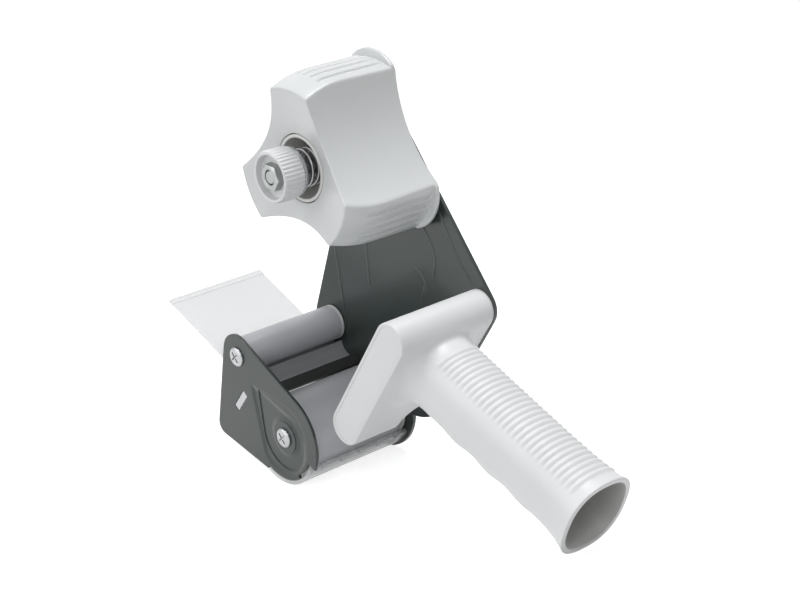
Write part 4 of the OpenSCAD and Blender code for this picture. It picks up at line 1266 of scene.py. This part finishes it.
def knob_ridges(count, seat):
    """The ridges round the knob, on a seat radius."""
    half = math.pi * KNOB_R / count * RIDGE_SHARE
    rings = []
    for z, size in RIDGE_LINE:
        wide = half * mix(0.8, 1, size)
        rings.append([(x if x < 0 else x * size, y * wide, z) for x, y in RIDGE_SECTION])
    ridge = plain_mesh(woven(rings, capped=True), "ridge")
    ridges = grow(
        shared("Copies round an axis", circle_tree), piece=ridge, Count=count, Radius=seat,
        Finish=FINISHES["knob"])
    ridges.transform(Matrix.Translation(aside(HUB_AT, 0)) @ ALONG_Y)
    return ridges


def knob_shape(count):
    """The knob with its ridges, its recess and the seat of the nut."""
    body = KNOB_R - RIDGE_SEAT
    soft = [0.5, 0.7, 0.2, 0.2, 0.6, 0.4]
    turned = bowl(body, KNOB_WALL - RIDGE_SEAT, KNOB_Y0, KNOB_Y1, KNOB_Y0 + KNOB_FLOOR, soft)
    return joined(plain_mesh(turned, "knob"), knob_ridges(count, body))


def spring_shape(turns, wire):
    """The coil between its two seats."""
    height = SPRING_Y1 - SPRING_Y0 - 2 * wire
    coil = grow(
        shared("Coil", coil_tree), Turns=turns, Radius=SPRING_R, Height=height, Wire=wire,
        Finish=FINISHES["spring"])
    coil.transform(Matrix.Translation(aside(HUB_AT, SPRING_Y0 + wire)) @ ALONG_Y)
    return joined(coil)


class TAPEGUN_OT_brake(bpy.types.Operator):
    """Makes the knob, nut, bolt, cup and spring of the tape brake"""

    bl_idname = "tape_gun.brake"
    bl_label = "Tape brake"

    def execute(self, context):
        sizes = context.scene.tape_gun_sizes
        settle("knob_body", knob_shape(sizes.ridges), "tension_knob", sharp=45)
        top = KNOB_Y0 + KNOB_FLOOR + KNOB_POCKET
        nut = hex_body(HEX_R, top - NUT_H, top, BOLT_R + NUT_PLAY, NUT_CHAMFER)
        settle("hex_nut", nut, "tension_nut", sharp=30)
        settle("hex_bolt", bolt_shape(), "spindle_bolt", sharp=30)
        cup = bowl(CUP_R, CUP_WALL, DISH_Y, CUP_Y1, CUP_Y1 - CUP_BOTTOM, [0.4, 0.3, 0, 0, 0.4, 0.4])
        settle("cup_shell", cup, "brake_cup")
        coil = spring_shape(sizes.coils, sizes.wire / MM)
        spring = settle("coil_spring", coil, "tension_spring", sharp=60)
        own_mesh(spring)
        return {"FINISHED"}


# Screws and rivets


SCREW_LEN, HEAD_R, HEAD_H, SCREW_R = 10.0, 4.3, 1.5, 2.0
HANDLE_HEAD_R, HANDLE_SPREAD = 4.6, BAR_LEN * 0.34
BAR_HEAD_R, BAR_SCREW_R, BAR_GAP, BAR_DEEP, BAR_TURN = 2.6, 1.3, 1.2, 4.6, 138
BAR_SCREW_AT = polar(ROLLER_R + BAR_GAP + BAR_DEEP / 2, BAR_TURN)
BLADE_SCREW = {"radius": 2.8, "height": 1.6, "shaft": 1.5, "depth": 3.8, "dome": 0.9}
GAP = MAIN_Y - SIDE_T
FLAP_SLOPE, FLAP_T, TAPE_GAP = 18.7, 0.8, 1.7
HINGE_S, HINGE_PLAY, CLAMP_W = 9.2, 0.3, 6
FLAP_FOOT = GUIDE_AT - polar(GUIDE_R + TAPE_GAP + FLAP_T / 2, 90 - FLAP_SLOPE)
RIVET_AT = FLAP_FOOT + polar(1, 180 - FLAP_SLOPE) * (HINGE_S - FLAP_T / 2 - HINGE_PLAY - CLAMP_W / 2)
RIVETS, RIVET_GRIP = 3, 1.0
RIVET = ((0, -1.5), (1.2, -1.5), (1.2, 0.5), (2.2, 0.5), (2.15, 0.75), (1.6, 1.0), (0.8, 1.1), (0, 1.1))
HOLDER_LOW, HOLDER_SLOPE, HOLDER_LEN, HOLDER_T = Vector((-43.0, -13.4)), 55.4, 30, 1.8
HOLDER_OUT = polar(1, HOLDER_SLOPE + 90)
BLADE_SCREW_AT = HOLDER_LOW + polar(1, HOLDER_SLOPE) * (0.24 * HOLDER_LEN) + HOLDER_OUT * HOLDER_T


def pan_head(radius, height, shaft, depth, dome):
    """A screw along Z with a domed head and a cross recess. Its head stands on zero."""
    profile = [(0, -depth), (shaft * 0.6, -depth), (shaft, -depth + shaft * 0.5), (shaft, 0), (radius, 0)]
    profile += [(radius, height - dome), (radius * 0.86, height - dome * 0.35)]
    profile += [(radius * 0.5, height - dome * 0.04), (0, height)]
    mesh = upright(eased(profile, [0, 0, 0, 0, 0.12, 0.3, 0.5, 0.5, 0], closed=False), 40)
    slot = (radius * 1.2, radius * 0.2, height * 1.1)
    for turn in (45, 135):
        mesh = carve(mesh, block(slot, height, math.radians(turn)), "DIFFERENCE")
    return mesh


def set_copies(name, node, piece, spots):
    """Sets copies of a piece drawn along Z, each at a place and facing a direction."""
    mesh = bpy.data.meshes.new("points")
    mesh.from_pydata([place for place, facing in spots], [], [])
    attribute = mesh.attributes.new("facing", "FLOAT_VECTOR", "POINT")
    for slot, (place, facing) in zip(attribute.data, spots):
        slot.vector = facing
    tree = shared("Copies on points", copies_tree)
    whole = grow(tree, mesh, piece, Size=1.0, Finish=FINISHES[FINISH_OF_NODE[node]])
    settle(name, joined(whole), node, sharp=30)


def rivet_spots():
    """Spots of the rivets' heads, over the strip and under it."""
    up = aside(polar(1, 90 - FLAP_SLOPE), 0)
    places = [aside(RIVET_AT, SIDE_T + GAP * (i + 0.5) / RIVETS) for i in range(RIVETS)]
    return [(place, up) for place in places] + [(place - up * RIVET_GRIP, -up) for place in places]


class TAPEGUN_OT_screws(bpy.types.Operator):
    """Sets the screws with cross recesses and the domed rivets"""

    bl_idname = "tape_gun.screws"
    bl_label = "Screws"

    def execute(self, context):
        dome = context.scene.tape_gun_sizes.dome / MM
        back, near = Vector((0, 1, 0)), Vector((0, -1, 0))
        axles = (ROLLER_AT, GUIDE_AT)
        spots = [(aside(axle, y), way) for y, way in ((BACK_Y, back), (0, near)) for axle in axles]
        screw = pan_head(HEAD_R, HEAD_H, SCREW_R, SCREW_LEN, dome)
        set_copies("axle_pan_screws", "axle_screws", screw, spots)
        spots = [(aside(BAR_MID + BAR_DIR * side * HANDLE_SPREAD, BACK_Y), back) for side in (-1, 1)]
        screw = pan_head(HANDLE_HEAD_R, HEAD_H, SCREW_R, SCREW_LEN, dome)
        set_copies("handle_pan_screws", "handle_screws", screw, spots)
        screw = pan_head(BAR_HEAD_R, HEAD_H, BAR_SCREW_R, SCREW_LEN, dome)
        set_copies("bar_pan_screw", "bar_screw", screw, [(aside(BAR_SCREW_AT, BACK_Y), back)])
        set_copies("strip_rivets", "flap_rivets", upright(RIVET, 28), rivet_spots())
        out = aside(HOLDER_OUT, 0)
        spots = [(aside(BLADE_SCREW_AT, SIDE_T + GAP * share), out) for share in (0.25, 0.75)]
        set_copies("blade_pan_screws", "blade_screws", pan_head(**BLADE_SCREW), spots)
        return {"FINISHED"}


# Sheet metal, clear parts and small parts


# Round along the edges of each node that keeps its CAD shape
SOFT_NODES = {
    "guide_plate": 0.2, "flap_clamp": 0.2, "flap": 0.2, "blade_holder": 0.3, "blade": 0.06,
    "brake_bar": 0.35, "roller_guard": 0.25, "spindle_washer": 0.2, "spindle_sleeve": 0.2,
    "back_washer": 0.15, "friction_washer": 0.1, "thrust_washer": 0.2, "hub_bush": 0.2,
    "guide_axle": 0.2, "roller_axle": 0.2,
}


class TAPEGUN_OT_small_parts(bpy.types.Operator):
    """Rounds the edges of the sheet metal, the clear parts, the washers and the axles"""

    bl_idname = "tape_gun.small_parts"
    bl_label = "Small parts"

    def execute(self, context):
        for node, edge in SOFT_NODES.items():
            settle(node + "_part", soft_copy(node, edge), node, sharp=25)
        return {"FINISHED"}


# Stage


# The camera in the gun's side view: its place from the big roller's axis in metres, and its
# three directions.
CAMERA_PLACE = (0.537306, -0.4045, 0.375597)
CAMERA_RIGHT = (0.65727, 0.75366, 0.0)
CAMERA_UP = (-0.317932, 0.27728, 0.90666)
CAMERA_BACK = (0.683312, -0.59592, 0.421863)
CAMERA_LENS, SENSOR, CLIP_START = 82.48, 36.0, 0.01

# Each lamp's place, target, side and power
LAMPS = {
    "top lamp": ((0.1, 0.15, 1.15), (0.02, 0, 0.07), 0.6, 8.2),
    "front lamp": ((0.66, -0.62, 0.7), (0, 0, 0.1), 0.3, 1.5),
    "side lamp": ((-0.5, -1.2, 0.5), (0, 0, 0.08), 1.5, 8.8),
}
WORLD_LIGHT = 0.21
FLOOR_HALF, FLOOR_TONE, FLOOR_ROUGH, FLOOR_WHITE = 6.0, 0.7, 0.9, 0.8


def add_lamp(name, place, target, size, power):
    """A square soft lamp that faces a target."""
    lamp = bpy.data.lights.new(name, "AREA")
    lamp.shape = "SQUARE"
    lamp.size = size
    lamp.energy = power
    item = put(name, lamp)
    item.location = place
    item.rotation_euler = (Vector(target) - Vector(place)).to_track_quat("-Z", "Y").to_euler()


def add_camera():
    """The camera that sees the gun as the photograph does."""
    camera = bpy.data.cameras.new("camera")
    camera.lens = CAMERA_LENS
    camera.sensor_width = SENSOR
    camera.clip_start = CLIP_START
    item = put("camera", camera)
    columns = (CAMERA_RIGHT, CAMERA_UP, CAMERA_BACK)
    turn = Matrix([[column[i] for column in columns] for i in range(3)]).to_4x4()
    origin = Matrix.Translation((ROLLER.x, NEAR, ROLLER.z))
    item.matrix_world = origin @ TIP @ Matrix.Translation(CAMERA_PLACE) @ turn
    bpy.context.scene.camera = item


def seen_directly(tree):
    """A mask that is 1 for camera, glossy and transmission rays."""
    path = add(tree, "ShaderNodeLightPath", (-800, 300)).outputs
    either = sums(tree, "MAXIMUM", (-600, 300), path["Is Camera Ray"], path["Is Glossy Ray"])
    return sums(tree, "MAXIMUM", (-400, 300), either, path["Is Transmission Ray"])


def build_world():
    """White where it is seen, and a plain soft light elsewhere."""
    world = bpy.data.worlds.new("Studio")
    bpy.context.scene.world = world
    world.use_nodes = True
    tree = world.node_tree
    level = add(
        tree, "ShaderNodeMapRange", (-100, 300), Value=seen_directly(tree), To_Min=WORLD_LIGHT, To_Max=1.0)
    tune(tree, tree.nodes["Background"], Color=(1, 1, 1, 1), Strength=level.outputs[0])


def floor_finish():
    """Pale matt floor that looks white where light falls on it, with the object's shadow."""
    material, tree, shader = new_material("Pale floor")
    white = sums(tree, "MULTIPLY", (-100, 300), seen_directly(tree), FLOOR_WHITE)
    tune(
        tree, shader, Base_Color=(FLOOR_TONE, FLOOR_TONE, FLOOR_TONE, 1), Roughness=FLOOR_ROUGH,
        Specular_IOR_Level=0.0, Emission_Color=(1, 1, 1, 1), Emission_Strength=white)
    return material


class TAPEGUN_OT_stage(bpy.types.Operator):
    """Adds the pale floor, the soft lamps, the world and the camera"""

    bl_idname = "tape_gun.stage"
    bl_label = "Stage"

    def execute(self, context):
        context.scene.view_settings.view_transform = "Standard"
        mesh = bpy.data.meshes.new("floor")
        corners = [(FLOOR_HALF * x, FLOOR_HALF * y, 0) for x, y in ((-1, -1), (1, -1), (1, 1), (-1, 1))]
        mesh.from_pydata(corners, [], [(0, 1, 2, 3)])
        mesh.materials.append(floor_finish())
        floor = put("floor", mesh)
        build_world()
        for name, settings in LAMPS.items():
            add_lamp(name, *settings)
        add_camera()
        return {"FINISHED"}


class TAPEGUN_PT_panel(bpy.types.Panel):
    """Sizes, colours and steps of the tape gun"""

    bl_label = "Tape Gun"
    bl_idname = "TAPEGUN_PT_panel"
    bl_space_type = "VIEW_3D"
    bl_region_type = "UI"
    bl_category = "Tape Gun"

    def draw(self, context):
        for settings in (context.scene.tape_gun_sizes, context.scene.tape_gun_colours):
            for key in settings.__annotations__:
                self.layout.prop(settings, key)
        for step in STEPS:
            self.layout.operator(step.bl_idname)


STEPS = (
    TAPEGUN_OT_finishes, TAPEGUN_OT_hub, TAPEGUN_OT_handle, TAPEGUN_OT_plates, TAPEGUN_OT_rollers,
    TAPEGUN_OT_brake, TAPEGUN_OT_screws, TAPEGUN_OT_small_parts, TAPEGUN_OT_stage)
CLASSES = (TapeGunSizes, TapeGunColours, *STEPS, TAPEGUN_PT_panel)


def register():
    for item in CLASSES:
        bpy.utils.register_class(item)
    bpy.types.Scene.tape_gun_sizes = bpy.props.PointerProperty(type=TapeGunSizes)
    bpy.types.Scene.tape_gun_colours = bpy.props.PointerProperty(type=TapeGunColours)


def unregister():
    del bpy.types.Scene.tape_gun_sizes
    del bpy.types.Scene.tape_gun_colours
    for item in reversed(CLASSES):
        bpy.utils.unregister_class(item)


def main():
    register()
    for step in STEPS:
        area, name = step.bl_idname.split(".")
        getattr(getattr(bpy.ops, area), name)()


if __name__ == "__main__":
    main()
